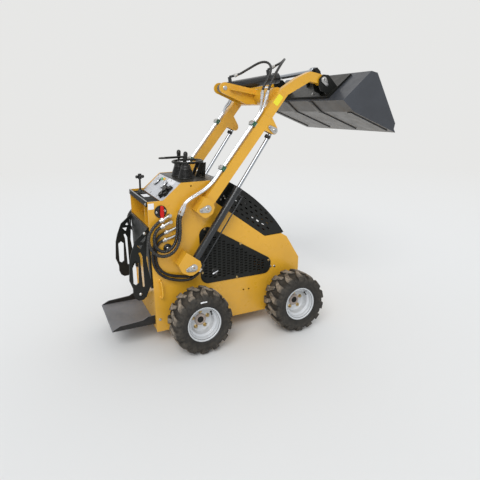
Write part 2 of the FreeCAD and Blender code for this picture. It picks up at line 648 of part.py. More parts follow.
WHEELS = [("rear_left", "axle_rear_x", 1), ("rear_right", "axle_rear_x", -1),
          ("front_left", "axle_rear_x + wheelbase", 1), ("front_right", "axle_rear_x + wheelbase", -1)]
tread = tyre_shape()
for where, wheel_x, side in WHEELS:
    tyre = doc.addObject("Part::Feature", "Tyre_" + where)
    tyre.Shape = tread
    node(tyre, "tyre_" + where, wheel_x, signed(side, TYRE_Y), "tyre_radius")

    # Stepped rim turned about the axle, with its disc, hub, cap and five bolts.
    rim = body("Rim_" + where)
    sk = sketch(rim, "RimSection_" + where, "YZ_Plane")
    half_ring = [("rim_half", "rim_bead - rim_wall"), ("rim_half", "rim_flange"), ("rim_half - 6", "rim_flange"),
                 ("rim_half - 6", "rim_bead"), ("rim_step", "rim_bead"), ("rim_step - 8", "rim_well")]
    inside = [("rim_step - 5", "rim_well - rim_wall"), ("rim_step + 3", "rim_bead - rim_wall")]
    mirrored = [("-(%s)" % ty, tr) for ty, tr in half_ring]
    polygon(sk, half_ring + mirrored[::-1] + [("-(%s)" % ty, tr) for ty, tr in inside[::-1]] + inside)
    turn = rim.newObject("PartDesign::Revolution", "RimTurn_" + where)
    turn.Profile = sk
    turn.ReferenceAxis = (sk, ["H_Axis"])
    turn.Angle = 360
    for spot, radius, length, inward in (("Disc", "rim_well - 2", "disc_wall", True), ("Hub", "hub_radius", "hub_depth", True),
                                         ("Cap", "cap_radius", "cap_height", False)):
        sk = sketch(rim, "Rim%s_%s" % (spot, where))
        circle(sk, "0", "0", radius)
        grow(rim, "Pad", "Rim%sPad_%s" % (spot, where), sk, length, False, (side < 0) == inward)
    sk = sketch(rim, "RimBolt_" + where)
    circle(sk, "0", "bolt_circle", "bolt_radius")
    bolt = grow(rim, "Pad", "RimBoltPad_" + where, sk, "bolt_height", False, side > 0)
    ring = rim.newObject("PartDesign::PolarPattern", "RimBolts_" + where)
    ring.Originals = [bolt]
    ring.Axis = (sk, ["N_Axis"])
    ring.Angle = 360
    ring.Occurrences = 5
    rim.Tip = ring
    node(rim, "rim_" + where, wheel_x, signed(side, TYRE_Y), "tyre_radius")

for word, side in SIDES:
    pair = [cylinder("Motor_%s_%s" % (spot, word), "motor_radius", MOTOR, x, centred=False)
            for spot, x in (("rear", "0"), ("front", "wheelbase"))]
    node(apart("Motors_" + word, pair), "wheel_motors_" + word, "axle_rear_x",
         "body_half" if side > 0 else "-body_half - " + MOTOR, "tyre_radius", 2)

# Side plates with the two folded pivot brackets of each side welded on, and their pins.
HOLES = [("deck", 8, 1066, 6), ("belly_rear", 388, 282, 7), ("belly_front", 430, 281, 7)]
for word, side in SIDES:
    plate = body("SidePlate_" + word)
    sk = sketch(plate, "SideOutline_" + word)
    polygon(sk, corners_of("side"))
    grow(plate, "Pad", "SidePad_" + word, sk, "plate_wall")
    before = volume_of(plate)
    for spot, hx, hz, radius in HOLES:
        sk = sketch(plate, "SideHole_%s_%s" % (spot, word))
        circle(sk, hx, hz, radius)
        grow(plate, "Pocket", "SideHoleCut_%s_%s" % (spot, word), sk, "plate_wall * 3")
    sk = sketch(plate, "SideWindow_" + word)
    lap = inset(corners_of("grille"), "grille_lap")
    polygon(sk, [("grille_rear_high_x + grille_lap + 2.5", "grille_rear_high_z - grille_round * 1.84"),
                 ("grille_rear_high_x + grille_round * 0.73", "grille_rear_high_z - grille_round * 1.27"),
                 ("grille_rear_high_x + grille_round * 1.38", "grille_rear_high_z - grille_round * 1.27")] + lap[1:])
    window = grow(plate, "Pocket", "SideWindowCut_" + word, sk, "plate_wall * 3")
    plate.Tip = window
    cut_check(plate, window, before)
    plate.setExpression(".Placement.Base.y", bound(signed(side, "(body_half - plate_wall / 2)")))
    pieces = [plate]
    for kind, px, pz in (("upper", "arm_pivot_x", "arm_pivot_z"), ("lower", "lift_base_x", "lift_base_z")):
        ear = body("Bracket_%s_%s" % (kind, word))
        sk = sketch(ear, "BracketOutline_%s_%s" % (kind, word))
        polygon(sk, corners_of(kind))
        grow(ear, "Pad", "BracketPad_%s_%s" % (kind, word), sk, BRACKET, False, side > 0)
        before = volume_of(ear)
        sk = sketch(ear, "BracketRoom_%s_%s" % (kind, word))
        hx, hz = kind + "_fold_high_x", kind + "_fold_high_z"
        lx, lz = kind + "_fold_low_x", kind + "_fold_low_z"
        # The wall along the fold stays; its normal points about (0.82, -0.57).
        polygon(sk, [(lx + " + bracket_wall * 0.817 - 80 * 0.577", lz + " - bracket_wall * 0.577 - 80 * 0.817"),
                     (lx + " + bracket_wall * 0.817 + 250", lz + " - bracket_wall * 0.577 - 80 * 0.817 - 150"),
                     (hx + " + 300", hz + " + 80"),
                     (hx + " + bracket_wall * 0.817 + 80 * 0.577", hz + " - bracket_wall * 0.577 + 80 * 0.817")])
        room = grow(ear, "Pocket", "BracketPocket_%s_%s" % (kind, word), sk, BRACKET + " - bracket_wall", False, side < 0)
        ear.Tip = room
        cut_check(ear, room, before)
        ear.setExpression(".Placement.Base.y", bound(signed(side, "body_half")))
        pin = cylinder("Pin_%s_%s" % (kind, word), "pin_radius", BRACKET + " + pin_proud", px,
                       "body_half" if side > 0 else "-body_half - pin_proud - " + BRACKET, pz, centred=False)
        pieces += [ear, pin]
    node(join("SideWeld_" + word, pieces), "side_plate_" + word)

# Folded tub between the side plates, open on top, with the open rear bay's shelf, wall and divider welded to it.
tub = body("Tub")
sk = sketch(tub, "TubProfile")
outer = corners_of("tub")
within = inset(outer, "sheet_wall")
polygon(sk, outer[2:] + outer[:2] + within[1::-1] + within[:1:-1])
grow(tub, "Pad", "TubPad", sk, INNER + " * 2")
bay = body("Bay")
sk = sketch(bay, "BayProfile")
polygon(sk, [("tub_rear_high_x + 1", "tub_rear_high_z - sheet_wall"), ("-90", "tub_rear_high_z - sheet_wall"),
             ("-90", "side_notch_z - 25"), ("-95", "side_notch_z - 25"), ("-95", "tub_rear_high_z"),
             ("tub_rear_high_x + 1", "tub_rear_high_z")])
grow(bay, "Pad", "BayPad", sk, INNER + " * 2")
sk = sketch(bay, "BayDivider", offset="110")
polygon(sk, [("tub_rear_high_x + 6", "tub_rear_high_z - 2"), ("-92", "tub_rear_high_z - 2"), ("-92", "side_notch_z - 27"),
             ("tub_rear_high_x + 2", "side_notch_z - 27")])
bay.Tip = grow(bay, "Pad", "BayDividerPad", sk, "sheet_wall")
node(join("TubWeld", [tub, bay]), "body_tub")

node(block("Engine", "engine_length", "engine_width", "engine_height", "0", "0", "0"), "engine_block",
     "axle_rear_x + engine_x - engine_length / 2", "-engine_width / 2", "tub_rear_low_z + sheet_wall + seat")

# Rear tray with its deep lip and the parking lever on it.
tray = body("Tray")
sk = sketch(tray, "TrayProfile")
polygon(sk, [("side_rear_high_x - 5", "side_rear_high_z + 2"), ("side_rear_high_x - 5", "side_rear_high_z - 33"),
             ("side_rear_high_x + 2", "side_rear_high_z - 33"), ("side_rear_high_x + 2", "side_rear_high_z - 20"),
             ("side_notch_x - 6", "side_notch_z - 20"), ("side_notch_x - 6", "side_notch_z - 15"),
             ("side_rear_high_x + 2", "side_rear_high_z - 15"), ("side_rear_high_x + 2", "side_rear_high_z + 2")])
grow(tray, "Pad", "TrayPad", sk, INNER + " * 2")
spot = ("tray_lever_x", "tray_lever_y")
collar = doc.addObject("Part::Cone", "TrayCollar")
for prop, text in (("Radius1", "lever_radius + 18"), ("Radius2", "lever_radius + 1"), ("Height", "26")):
    collar.setExpression(prop, bound(text))
place(collar, spot[0], spot[1], "side_notch_z - 16")
stem = cylinder("TrayStem", "lever_radius", "tray_lever_height - 20", *spot, "side_notch_z - 16", along="Z")
knob = cylinder("TrayKnob", "grip_radius - 2", "38", *spot, "side_notch_z - 15 + tray_lever_height - 38", along="Z")
tee = cylinder("TrayTee", "lever_radius + 2", "52", spot[0], spot[1], "side_notch_z - 15 + tray_lever_height - 20")
node(join("TrayWeld", [tray, collar, stem, knob, tee]), "rear_tray")

# Console: sloped gauge panel and flat top in one folded sheet, with two gauges.
console = body("Console")
sk = sketch(console, "ConsoleProfile")
polygon(sk, [("side_notch_x - 4", "side_notch_z - 12"), ("side_slope_x - 2", "side_slope_z - 6"),
             ("side_crown_x", "side_crown_z - 6"), ("side_crown_x", "side_crown_z - 6 - sheet_wall"),
             ("side_slope_x", "side_slope_z - 6 - sheet_wall"), ("side_notch_x", "side_notch_z - 12 - sheet_wall")])
grow(console, "Pad", "ConsolePad", sk, INNER + " * 2")
pieces = [console]
for word, share, gy in (("near", 0.665, -22), ("far", 0.63, 136)):
    gauge = cylinder("Gauge_" + word, "gauge_radius", "gauge_proud + 3", along="Z")
    gauge.Placement = FreeCAD.Placement(Vector(0, 0, 0), Rotation(Vector(0, 1, 0), -40))
    gauge.setExpression(".Placement.Rotation.Angle",
                        "-atan2(Sizes.side_slope_z - Sizes.side_notch_z + 6; Sizes.side_slope_x - Sizes.side_notch_x + 2)")
    place(gauge, "side_notch_x - 2 + (side_slope_x - side_notch_x) * %s" % share, str(gy),
          "side_notch_z - 14 + (side_slope_z - side_notch_z + 6) * %s" % share)
    pieces.append(gauge)
node(join("ConsoleWeld", pieces), "console")

# Lever deck: plate, two bellows with their levers, the hand ring on its post, and the middle bar.
pieces = [block("LeverDeck", "side_crown_x - side_slope_x - 5", INNER + " * 2", "deck_wall", "side_slope_x + 4", "-" + INNER, "0")]
for word, side in SIDES:
    boot = doc.addObject("Part::Cone", "Boot_" + word)
    for prop, text in (("Radius1", "boot_radius"), ("Radius2", "boot_neck"), ("Height", "boot_height + 1")):
        boot.setExpression(prop, bound(text))
    place(boot, "lever_x", signed(side, "lever_y"), "deck_wall - 1")
    stem = cylinder("Stem_" + word, "lever_radius", "grip_from - boot_height + 6", "lever_x", signed(side, "lever_y"),
                    "deck_wall + boot_height - 3", along="Z")
    grip = cylinder("Grip_" + word, "grip_radius", "grip_to - grip_from - grip_radius", "lever_x", signed(side, "lever_y"),
                    "deck_wall + grip_from", along="Z")
    tip = doc.addObject("Part::Sphere", "GripTip_" + word)
    tip.setExpression("Radius", bound("grip_radius"))
    place(tip, "lever_x", signed(side, "lever_y"), "deck_wall + grip_to - grip_radius")
    pieces += [boot, stem, grip, tip]
ring = doc.addObject("Part::Torus", "HandRing")
ring.setExpression("Radius1", bound("ring_radius"))
ring.setExpression("Radius2", bound("ring_tube"))
place(ring, "ring_x", "0", "deck_wall + ring_height")
post = body("RingPost")
sk = sketch(post, "PostOutline")
polygon(sk, [("side_crown_x - 24", "deck_wall - 1"), ("side_crown_x - 3", "deck_wall - 1"),
             ("ring_x + ring_radius - 2", "deck_wall + ring_height - 14"),
             ("ring_x + ring_radius - 2", "deck_wall + ring_height + 3"),
             ("ring_x + ring_radius - 26", "deck_wall + ring_height + 3"),
             ("ring_x + ring_radius - 26", "deck_wall + ring_height - 14")])
grow(post, "Pad", "PostPad", sk, "post_half * 2")
before = volume_of(post)
sk = sketch(post, "PostRoom")
polygon(sk, [("side_crown_x - 40", "deck_wall - 5"), ("side_crown_x + 60", "deck_wall - 5"),
             ("side_crown_x + 60", "deck_wall + ring_height - 14"), ("side_crown_x - 40", "deck_wall + ring_height - 14")])
room = grow(post, "Pocket", "PostPocket", sk, "post_half * 2 - post_wall * 2")
post.Tip = room
cut_check(post, room, before)
bar = cylinder("HandBar", "bar_radius", "bar_to - bar_from", "bar_from", "0", "deck_wall + bar_height", along="X")
leg = cylinder("BarLeg", "lever_radius", "bar_height", "bar_to - 8", "0", "deck_wall - 1", along="Z")
loop = doc.addObject("Part::Torus", "BarLoop")
loop.setExpression("Radius1", bound("loop_radius"))
loop.setExpression("Radius2", bound("loop_tube"))
place(loop, "bar_from - loop_radius + 2", "0", "deck_wall + bar_height")
node(join("ControlsWeld", pieces + [ring, post, bar, leg, loop]), "control_levers", "axle_rear_x", None, DECK_Z)

# Curved hood: a sheet with a tangent pair of arcs, open below, its side walls perforated in staggered rows.
hood = body("Hood")
sk = sketch(hood, "HoodOutline")
polygon(sk, corners_of("hood"), [(2, "hood_brow_radius"), (3, "hood_crown_radius")])
grow(hood, "Pad", "HoodPad", sk, INNER + " * 2")
before = volume_of(hood)
sk = sketch(hood, "HoodRoom")
polygon(sk, [("hood_rear_low_x - 20", "hood_rear_high_z - hood_wall"), ("hood_brow_x", "hood_brow_z - hood_wall"),
             ("hood_crown_x - hood_wall * 0.5", "hood_crown_z - hood_wall * 0.866"),
             ("hood_nose_x - hood_wall * 0.84", "hood_nose_z - hood_wall * 0.54"),
             ("hood_nose_x - hood_wall * 2", "hood_mid_low_z - 60"), ("hood_rear_low_x - 20", "hood_mid_low_z - 60")],
        [(1, "hood_brow_radius - hood_wall"), (2, "hood_crown_radius - hood_wall")])
room = grow(hood, "Pocket", "HoodPocket", sk, INNER + " * 2 - hood_wall * 2")
cut_check(hood, room, before)
for row_name, along, row_number, count in HOOD_ROWS:
    sk = sketch(hood, "HoodSlot_" + row_name)
    up = "(Sizes.hood_row_first + Sizes.hood_row * %d)" % row_number
    sk.AttachmentOffset = FreeCAD.Placement(Vector(0, 0, 0), Rotation(Vector(0, 0, -1), size("hood_slope")))
    for path, text in (("Rotation.Angle", "Sizes.hood_slope"),
                       ("Base.x", "Sizes.hood_rear_mid_x + %s * cos(Sizes.hood_slope) + %s * sin(Sizes.hood_slope)" % (along, up)),
                       ("Base.y", "Sizes.hood_rear_mid_z - %s * sin(Sizes.hood_slope) + %s * cos(Sizes.hood_slope)" % (along, up))):
        sk.setExpression(".AttachmentOffset." + path, text)
    polygon(sk, [("-hood_slot / 2", "-hood_slot_high / 2"), ("hood_slot / 2", "-hood_slot_high / 2"),
                 ("hood_slot / 2", "hood_slot_high / 2"), ("-hood_slot / 2", "hood_slot_high / 2")])
    before = volume_of(hood)
    slot = grow(hood, "Pocket", "HoodSlotCut_" + row_name, sk, "body_half * 2 + 20")
    cut_check(hood, slot, before)
    line = hood.newObject("PartDesign::LinearPattern", "HoodRow_" + row_name)
    line.Originals = [slot]
    line.Direction = (sk, ["H_Axis"])
    line.setExpression("Length", bound("hood_pitch * %d" % (count - 1)))
    line.Occurrences = count
    hood.Tip = line
node(hood, "hood")

# Side grilles: rounded cover plates over the windows, perforated in staggered columns.
for word, side in SIDES:
    grille = body("Grille_" + word)
    sk = sketch(grille, "GrilleOutline_" + word)
    polygon(sk, corners_of("grille"))
    pad = grow(grille, "Pad", "GrillePad_" + word, sk, "grille_wall", False, side > 0)
    doc.recompute()
    edges = ["Edge%d" % (i + 1) for i, e in enumerate(pad.Shape.Edges)
             if abs(abs(e.tangentAt(e.FirstParameter).y) - 1) < 1e-6]
    corner = grille.newObject("PartDesign::Fillet", "GrilleCorners_" + word)
    corner.Base = (pad, edges)
    corner.setExpression("Radius", bound("grille_round"))
    grille.Tip = corner
    slots = doc.addObject("Part::Feature", "GrilleSlots_" + word)
    long, high, wall = size("grille_slot"), size("grille_slot_high"), size("grille_wall")
    slots.Shape = Part.makeCompound([
        Part.makeBox(long, wall * 4, high, Vector(
            size("grille_first_x") + size("grille_pitch") * column - long / 2, -wall * 2,
            size("grille_first_z") + size("grille_row") * (first + i + 0.5 * (column % 2)) - high / 2))
        for column, first, count in GRILLE_COLUMNS for i in range(count)])
    node(cut("GrilleCut_" + word, grille, slots), "side_grille_" + word, "axle_rear_x", signed(side, "body_half"))

# Platform: deck with S-shaped side flanges.
stand = body("Platform")
sk = sketch(stand, "PlatformOutline")
polygon(sk, corners_of("platform"))
grow(stand, "Pad", "PlatformPad", sk, "platform_half * 2")
before = volume_of(stand)
sk = sketch(stand, "PlatformRoom")
floor_z = "platform_tip_low_z + platform_wall"
polygon(sk, [("platform_tip_low_x - 20", floor_z), ("platform_front_low_x + 20", floor_z),
             ("platform_front_low_x + 20", "platform_front_high_z + 40"), ("platform_tip_low_x - 20", "platform_front_high_z + 40")])
room = grow(stand, "Pocket", "PlatformPocket", sk, "platform_half * 2 - platform_wall * 2")
stand.Tip = room
cut_check(stand, room, before)
node(stand, "platform")

# Leg guards beside the operator, with their cut-outs, welded to the plate between them.
pieces = []
for word, side in SIDES:
    guard = body("Guard_" + word)
    sk = sketch(guard, "GuardOutline_" + word)
    polygon(sk, corners_of("guard"))
    grow(guard, "Pad", "GuardPad_" + word, sk, "guard_wall", False, side < 0)
    for opening in GUARD_CUTS:
        before = volume_of(guard)
        sk = sketch(guard, "Guard_%s_%s" % (opening, word))
        polygon(sk, corners_of(opening))
        slot = grow(guard, "Pocket", "GuardCut_%s_%s" % (opening, word), sk, "guard_wall * 4")
        guard.Tip = slot
        cut_check(guard, slot, before)
    guard.setExpression(".Placement.Base.y", bound(signed(side, "guard_y")))
    pieces.append(guard)
back = body("BackPlate")
sk = sketch(back, "BackProfile")
polygon(sk, corners_of("back"))
grow(back, "Pad", "BackPad", sk, "guard_y * 2")
opening = block("BackWindow", "60", "(guard_y - back_strip) * 2", "back_band - back_low_rear_z + 20",
                "back_high_rear_x - 10", "back_strip - guard_y", "back_low_rear_z - 20")
node(join("GuardWeld", pieces + [cut("BackBand", back, opening)]), "leg_guard")

# Battery switch on the right side plate: round plate and its key.
disc = cylinder("SwitchPlate", "isolator_radius", "6", "isolator_x", "-body_half - 6", "isolator_z", centred=False)
key = block("SwitchKey", "16", "12", "isolator_radius * 1.6", "isolator_x - 8", "-body_half - 16", "isolator_z - isolator_radius * 0.8")
node(join("SwitchWeld", [disc, key]), "isolator_switch")

# Lift arms: box arm with a gusset fork for the rod and a gooseneck.
for word, side in SIDES:
    arm = body("ArmBody_" + word)
    sk = sketch(arm, "ArmOutline_" + word)
    polygon(sk, corners_of("arm"))
    grow(arm, "Pad", "ArmPad_" + word, sk, "arm_width")
    for spot, px, pz, radius in (("Foot", "arm_pivot_x", "arm_pivot_z", "arm_end"),
                                 ("Fork", "gusset_pin_x", "gusset_pin_z", "gusset_end"),
                                 ("Tip", "tip_pin_x", "tip_pin_z", "tip_end")):
        sk = sketch(arm, "Arm%s_%s" % (spot, word))
        circle(sk, px, pz, radius)
        grow(arm, "Pad", "Arm%sPad_%s" % (spot, word), sk, "arm_width")
    for spot, px, pz in (("Foot", "arm_pivot_x", "arm_pivot_z"), ("Tip", "tip_pin_x", "tip_pin_z")):
        sk = sketch(arm, "Arm%sBore_%s" % (spot, word))
        circle(sk, px, pz, PIN_HOLE)
        grow(arm, "Pocket", "Arm%sBorePocket_%s" % (spot, word), sk, "arm_width + 20")
    sk = sketch(arm, "ArmSlot_" + word)
    polygon(sk, corners_of("fork"))
    before = volume_of(arm)
    slot = grow(arm, "Pocket", "ArmSlotPocket_" + word, sk, "eye_width + eye_gap * 2")
    cut_check(arm, slot, before)
    # The rod's pin shows as a head on each cheek of the fork.
    for face, sign, reverse in (("Out", "", False), ("In", "-", True)):
        sk = sketch(arm, "ArmPin%s_%s" % (face, word), offset=sign + "(arm_width / 2 - 2)")
        circle(sk, "gusset_pin_x", "gusset_pin_z", "pin_radius")
        head = grow(arm, "Pad", "ArmPin%sPad_%s" % (face, word), sk, "pin_proud + 2", False, reverse)
    arm.Tip = head
    node(arm, "lift_arm_" + word, "axle_rear_x", signed(side, ARM_Y))

# Cross tube with the tilt cylinder's ribbed bracket.
tube = cylinder("CrossTube", "tube_radius", ARM_Y + " * 2 - arm_width", "tube_x", "0", "tube_z")
pieces = [tube]
for word, side in SIDES:
    ear = body("TiltEar_" + word)
    sk = sketch(ear, "TiltEarOutline_" + word)
    polygon(sk, corners_of("ear"))
    grow(ear, "Pad", "TiltEarPad_" + word, sk, "tilt_ear_wall")
    sk = sketch(ear, "TiltEarEnd_" + word)
    circle(sk, "tilt_base_x", "tilt_base_z", "tilt_ear")
    grow(ear, "Pad", "TiltEarEndPad_" + word, sk, "tilt_ear_wall")
    sk = sketch(ear, "TiltRib_" + word)
    polygon(sk, corners_of("rib"))
    ear.Tip = grow(ear, "Pad", "TiltRibPad_" + word, sk, "tilt_ear_wall / 2 + tilt_rib", False, side > 0)
    ear.setExpression(".Placement.Base.y", bound(signed(side, "tilt_ear_y")))
    pieces.append(ear)
pieces.append(cylinder("TiltBasePin", "tilt_pin", "tilt_ear_y * 2 + tilt_ear_wall + 8", "tilt_base_x", "0", "tilt_base_z"))
node(join("CrossWeld", pieces), "cross_tube")


def ram(kind, word, ends, outer, bore, gland, rod, rod_from, eye, width, pin, ports):
    # Hydraulic cylinder drawn along Z from its base pin: barrel tube with an eye and oil ports, rod with an eye.
    tag = kind + "_" + word
    across = outer + " * 2 + 20"
    hole_radius = pin + " + pin_fit"
    shell = cut("Tube_" + tag, join("TubeSolid_" + tag, [
        cylinder("TubeOut_" + tag, outer, gland + " - " + eye + " / 2", z=eye + " / 2", along="Z"),
        cylinder("TubeGland_" + tag, outer + " + 4", "36", z=gland + " - 36", along="Z"),
        cylinder("TubeEye_" + tag, eye, width)] + [
            between("Port_%s_%s" % (name, tag), r, Vector(ax, ay, az), Vector(bx, by, bz))
            for name, ax, ay, az, bx, by, bz, r in ports]), join("TubeVoid_" + tag, [
                cylinder("TubeBore_" + tag, bore, gland + " - " + eye + " - 50", z=eye + " + 20", along="Z"),
                cylinder("TubeMouth_" + tag, rod + " + 0.5", "100", z=gland + " - 60", along="Z"),
                cylinder("TubePin_" + tag, hole_radius, across)]))
    shell.Placement = FreeCAD.Placement(Vector(0, 0, 0), Rotation(Vector(0, 1, 0), 10))
    bar = cylinder("RodBar_" + tag, rod, "100", z=rod_from, along="Z")
    bar.setExpression("Height", reach(*ends) + " - " + bound(rod_from) + " - " + bound(eye) + " / 2")
    head = cylinder("RodHead_" + tag, bore + " - 0.5", "24", z=rod_from, along="Z")
    end = cylinder("RodEye_" + tag, eye, width)
    end.setExpression(".Placement.Base.z", reach(*ends))
    hole = cylinder("RodPin_" + tag, hole_radius, width + " + 20")
    hole.setExpression(".Placement.Base.z", reach(*ends))
    shaft = cut("Rod_" + tag, join("RodSolid_" + tag, [bar, head, end]), hole)
    shaft.Placement = FreeCAD.Placement(Vector(0, 0, 0), Rotation(Vector(0, 1, 0), 10))
    for obj in (shell, shaft):
        obj.setExpression(".Placement.Rotation.Angle", hinge_angle(*ends))
    return shell, shaft


for word, side in SIDES:
    shell, shaft = ram("lift", word, LIFT, "lift_barrel", "lift_bore", "lift_gland", "lift_rod", "lift_rod_from", "lift_eye",
                       "eye_width", "pin_radius", LIFT_PORTS)
    node(shell, "lift_barrel_" + word, "axle_rear_x + lift_base_x", signed(side, ARM_Y), "lift_base_z")
    node(shaft, "lift_rod_" + word, "axle_rear_x + lift_base_x", signed(side, ARM_Y), "lift_base_z")
shell, shaft = ram("tilt", "centre", TILT, "tilt_barrel", "tilt_bore", "tilt_gland", "tilt_rod", "tilt_rod_from", "tilt_eye",
                   "tilt_eye_width", "tilt_pin", TILT_PORTS)
node(shell, "tilt_barrel", "axle_rear_x + tilt_base_x", "0", "tilt_base_z")
node(shaft, "tilt_rod", "axle_rear_x + tilt_base_x", "0", "tilt_base_z")


def bent_tube(route, radius, label):
    # Straight runs joined by tangent arcs, each as large as its two runs allow.
    edges, at, radii = [], route[0], []
    for i in range(1, len(route) - 1):
        before, corner, after = route[i - 1], route[i], route[i + 1]
        back, on = (before - corner).normalize(), (after - corner).normalize()
        turn = math.pi - back.getAngle(on)
        tangent = 0.45 * min((before - corner).Length, (after - corner).Length)
        radius_here = tangent / math.tan(turn / 2)
        bisector = (back + on).normalize()
        a, b = corner + back * tangent, corner + on * tangent
        middle = corner + bisector * (radius_here / math.cos(turn / 2) - radius_here)
        edges += [Part.makeLine(at, a), Part.Arc(a, middle, b).toShape()]
        at = b
        radii.append(radius_here)
    edges.append(Part.makeLine(at, route[-1]))
    path = Part.Wire(edges)
    ring = Part.Wire([Part.makeCircle(radius, route[0], route[1] - route[0])])
    solid = path.makePipeShell([ring], True, False)
    ideal = math.pi * radius ** 2 * path.Length
    print("%-20s length %.0f, radii %s, volume %.4f of section x length" % (
        label, path.Length, " ".join("%.0f" % r for r in radii), solid.Volume / ideal))
    if not solid.isValid() or abs(solid.Volume / ideal - 1) > 0.01:
        raise ValueError("%s: tube is not sound" % label)
    return solid


def on_arm(side, along, up, across):
    # A spot beside an arm: along it from its pivot, up from the pivot line, across from its centre plane.
    c, s = math.cos(math.radians(size("arm_lean"))), math.sin(math.radians(size("arm_lean")))
    return Vector(size("arm_pivot_x") + along * c - up * s, side * (number(ARM_Y) + across), size("arm_pivot_z") + along * s + up * c)


def coupled(spot, direction, length):
    return spot + Vector(direction).normalize() * length


# Steel pipes along the arms, in two clamps, with a hose coupling at each end.
ENDS = {}
for word, side in SIDES:
    solids = []
    for pipe_side, line, points in PIPES:
        if pipe_side != word:
            continue
        across = size("pipe_spread") * (1 if line == "out" else -1)
        route = [on_arm(side, a, u, across - inward) for a, u, inward in points]
        solids.append(bent_tube(route, size("pipe_radius"), "pipe %s %s" % (line, word)))
        for end, spot, beside in (("low", route[0], route[1]), ("high", route[-1], route[-2])):
            tip = coupled(spot, spot - beside, size("coupling_length"))
            solids.append(Part.makeCylinder(size("coupling_radius"), size("coupling_length"), spot, spot - beside))
            ENDS["pipe_%s_%s_%s" % (end, line, word)] = (tip, (spot - beside).normalize())
    # The clamps stand on the arm's rear face.
    foot = Vector(size("arm_foot_rear_x"), 0, size("arm_foot_rear_z"))
    along = (Vector(size("arm_bend_high_x"), 0, size("arm_bend_high_z")) - foot).normalize()
    width = 2 * (size("pipe_spread") + size("pipe_radius") + size("clamp_edge"))
    for centre in (size("clamp_low"), size("clamp_high")):
        clamp = Part.makeBox(size("clamp_length"), width, size("clamp_height"))
        corner = foot + along * (centre - size("clamp_length") / 2) + Vector(-along.z, 0, along.x) * 0.05
        corner.y = side * number(ARM_Y) - width / 2
        clamp.Placement = FreeCAD.Placement(corner, Rotation(Vector(0, 1, 0), -math.degrees(math.atan2(along.z, along.x))))
        solids.append(clamp)
    pipes = doc.addObject("Part::Feature", "ArmPipes_" + word)
    pipes.Shape = solids[0].multiFuse(solids[1:])
    node(pipes, "arm_pipes_" + word)

# Bulkhead fittings on the side plates: a body out of the plate and a nozzle along it.
for word, side in SIDES:
    posts = []
    for name, px, pz, nx, nz, out in FITTINGS:
        y = side * (size("body_half") + out)
        start, end = Vector(px, y, pz), Vector(nx, y, nz)
        stub = Part.makeCylinder(size("post_radius"), out + 11, Vector(px, side * size("body_half"), pz), Vector(0, side, 0))
        posts.append(stub.fuse(Part.makeCylinder(size("nozzle_radius"), (end - start).Length, start, end - start)))
        ENDS["fitting_%s_%s" % (name, word)] = (end, (end - start).normalize())
    fittings = doc.addObject("Part::Feature", "Fittings_" + word)
    fittings.Shape = Part.makeCompound(posts)
    node(fittings, "ports_" + word, solids=len(posts))

# Oil ports in the machine's frame, for the hoses that end on them.
for word, side, ports, ends, y in (("left", 1, LIFT_PORTS, LIFT, number(ARM_Y)), ("right", -1, LIFT_PORTS, LIFT, -number(ARM_Y)),
                                   ("tilt", 1, TILT_PORTS, TILT, 0.0)):
    ax, az, bx, bz = [size(e) for e in ends]
    frame = FreeCAD.Placement(Vector(ax, y, az), Rotation(Vector(0, 1, 0), math.degrees(math.atan2(bx - ax, bz - az))))
    for name, x0, y0, z0, x1, y1, z1, r in ports:
        start, end = frame.multVec(Vector(x0, y0, z0)), frame.multVec(Vector(x1, y1, z1))
        ENDS["port_%s_%s" % (name, word)] = (end, (end - start).normalize())

# Hoses: node, radius, route, its two ends, side, straight length at each end.
HOSES = [("hose_tilt_rear", "tilt_hose", "tilt_rear", "pipe_high_in_right", "port_rear_nozzle_tilt", -1, 30, 30),
         ("hose_tilt_front", "tilt_hose", "tilt_front", "pipe_high_out_right", "port_front_nozzle_tilt", -1, 30, 28)]
for word, side in SIDES:
    outer_port, inner_port = ("left", "right") if side > 0 else ("right", "left")
    for kind, radius, start, end, first, last in (
            ("boom_in", "boom_hose", "pipe_low_in", "fitting_second", 35, 23),
            ("boom_out", "boom_hose", "pipe_low_out", "fitting_high", 30, 34),
            ("lift_out", "lift_hose", "fitting_third", "port_" + outer_port, 28, 30),
            ("lift_in", "lift_hose", "fitting_low", "port_" + inner_port, 24, 30)):
        HOSES.append(("hose_%s_%s" % (kind, word), radius, kind, start + "_" + word, end + "_" + word, side, first, last))
shift = number(ARM_Y) - size("route_arm_y")
for label, radius, route_name, start, end, side, first, last in HOSES:
    route = [ENDS[start][0], coupled(*ENDS[start], first)]
    for x, y, z in ROUTES[route_name]:
        route.append(Vector(x, -side * (y - shift * min(1.0, -y / size("body_half"))), z))
    route += [coupled(*ENDS[end], last), ENDS[end][0]]
    hose = doc.addObject("Part::Feature", label)
    hose.Shape = bent_tube(route, size(radius), label)
    node(hose, label)
    print("  ", [tuple(round(v, 1) for v in p) for p in route])

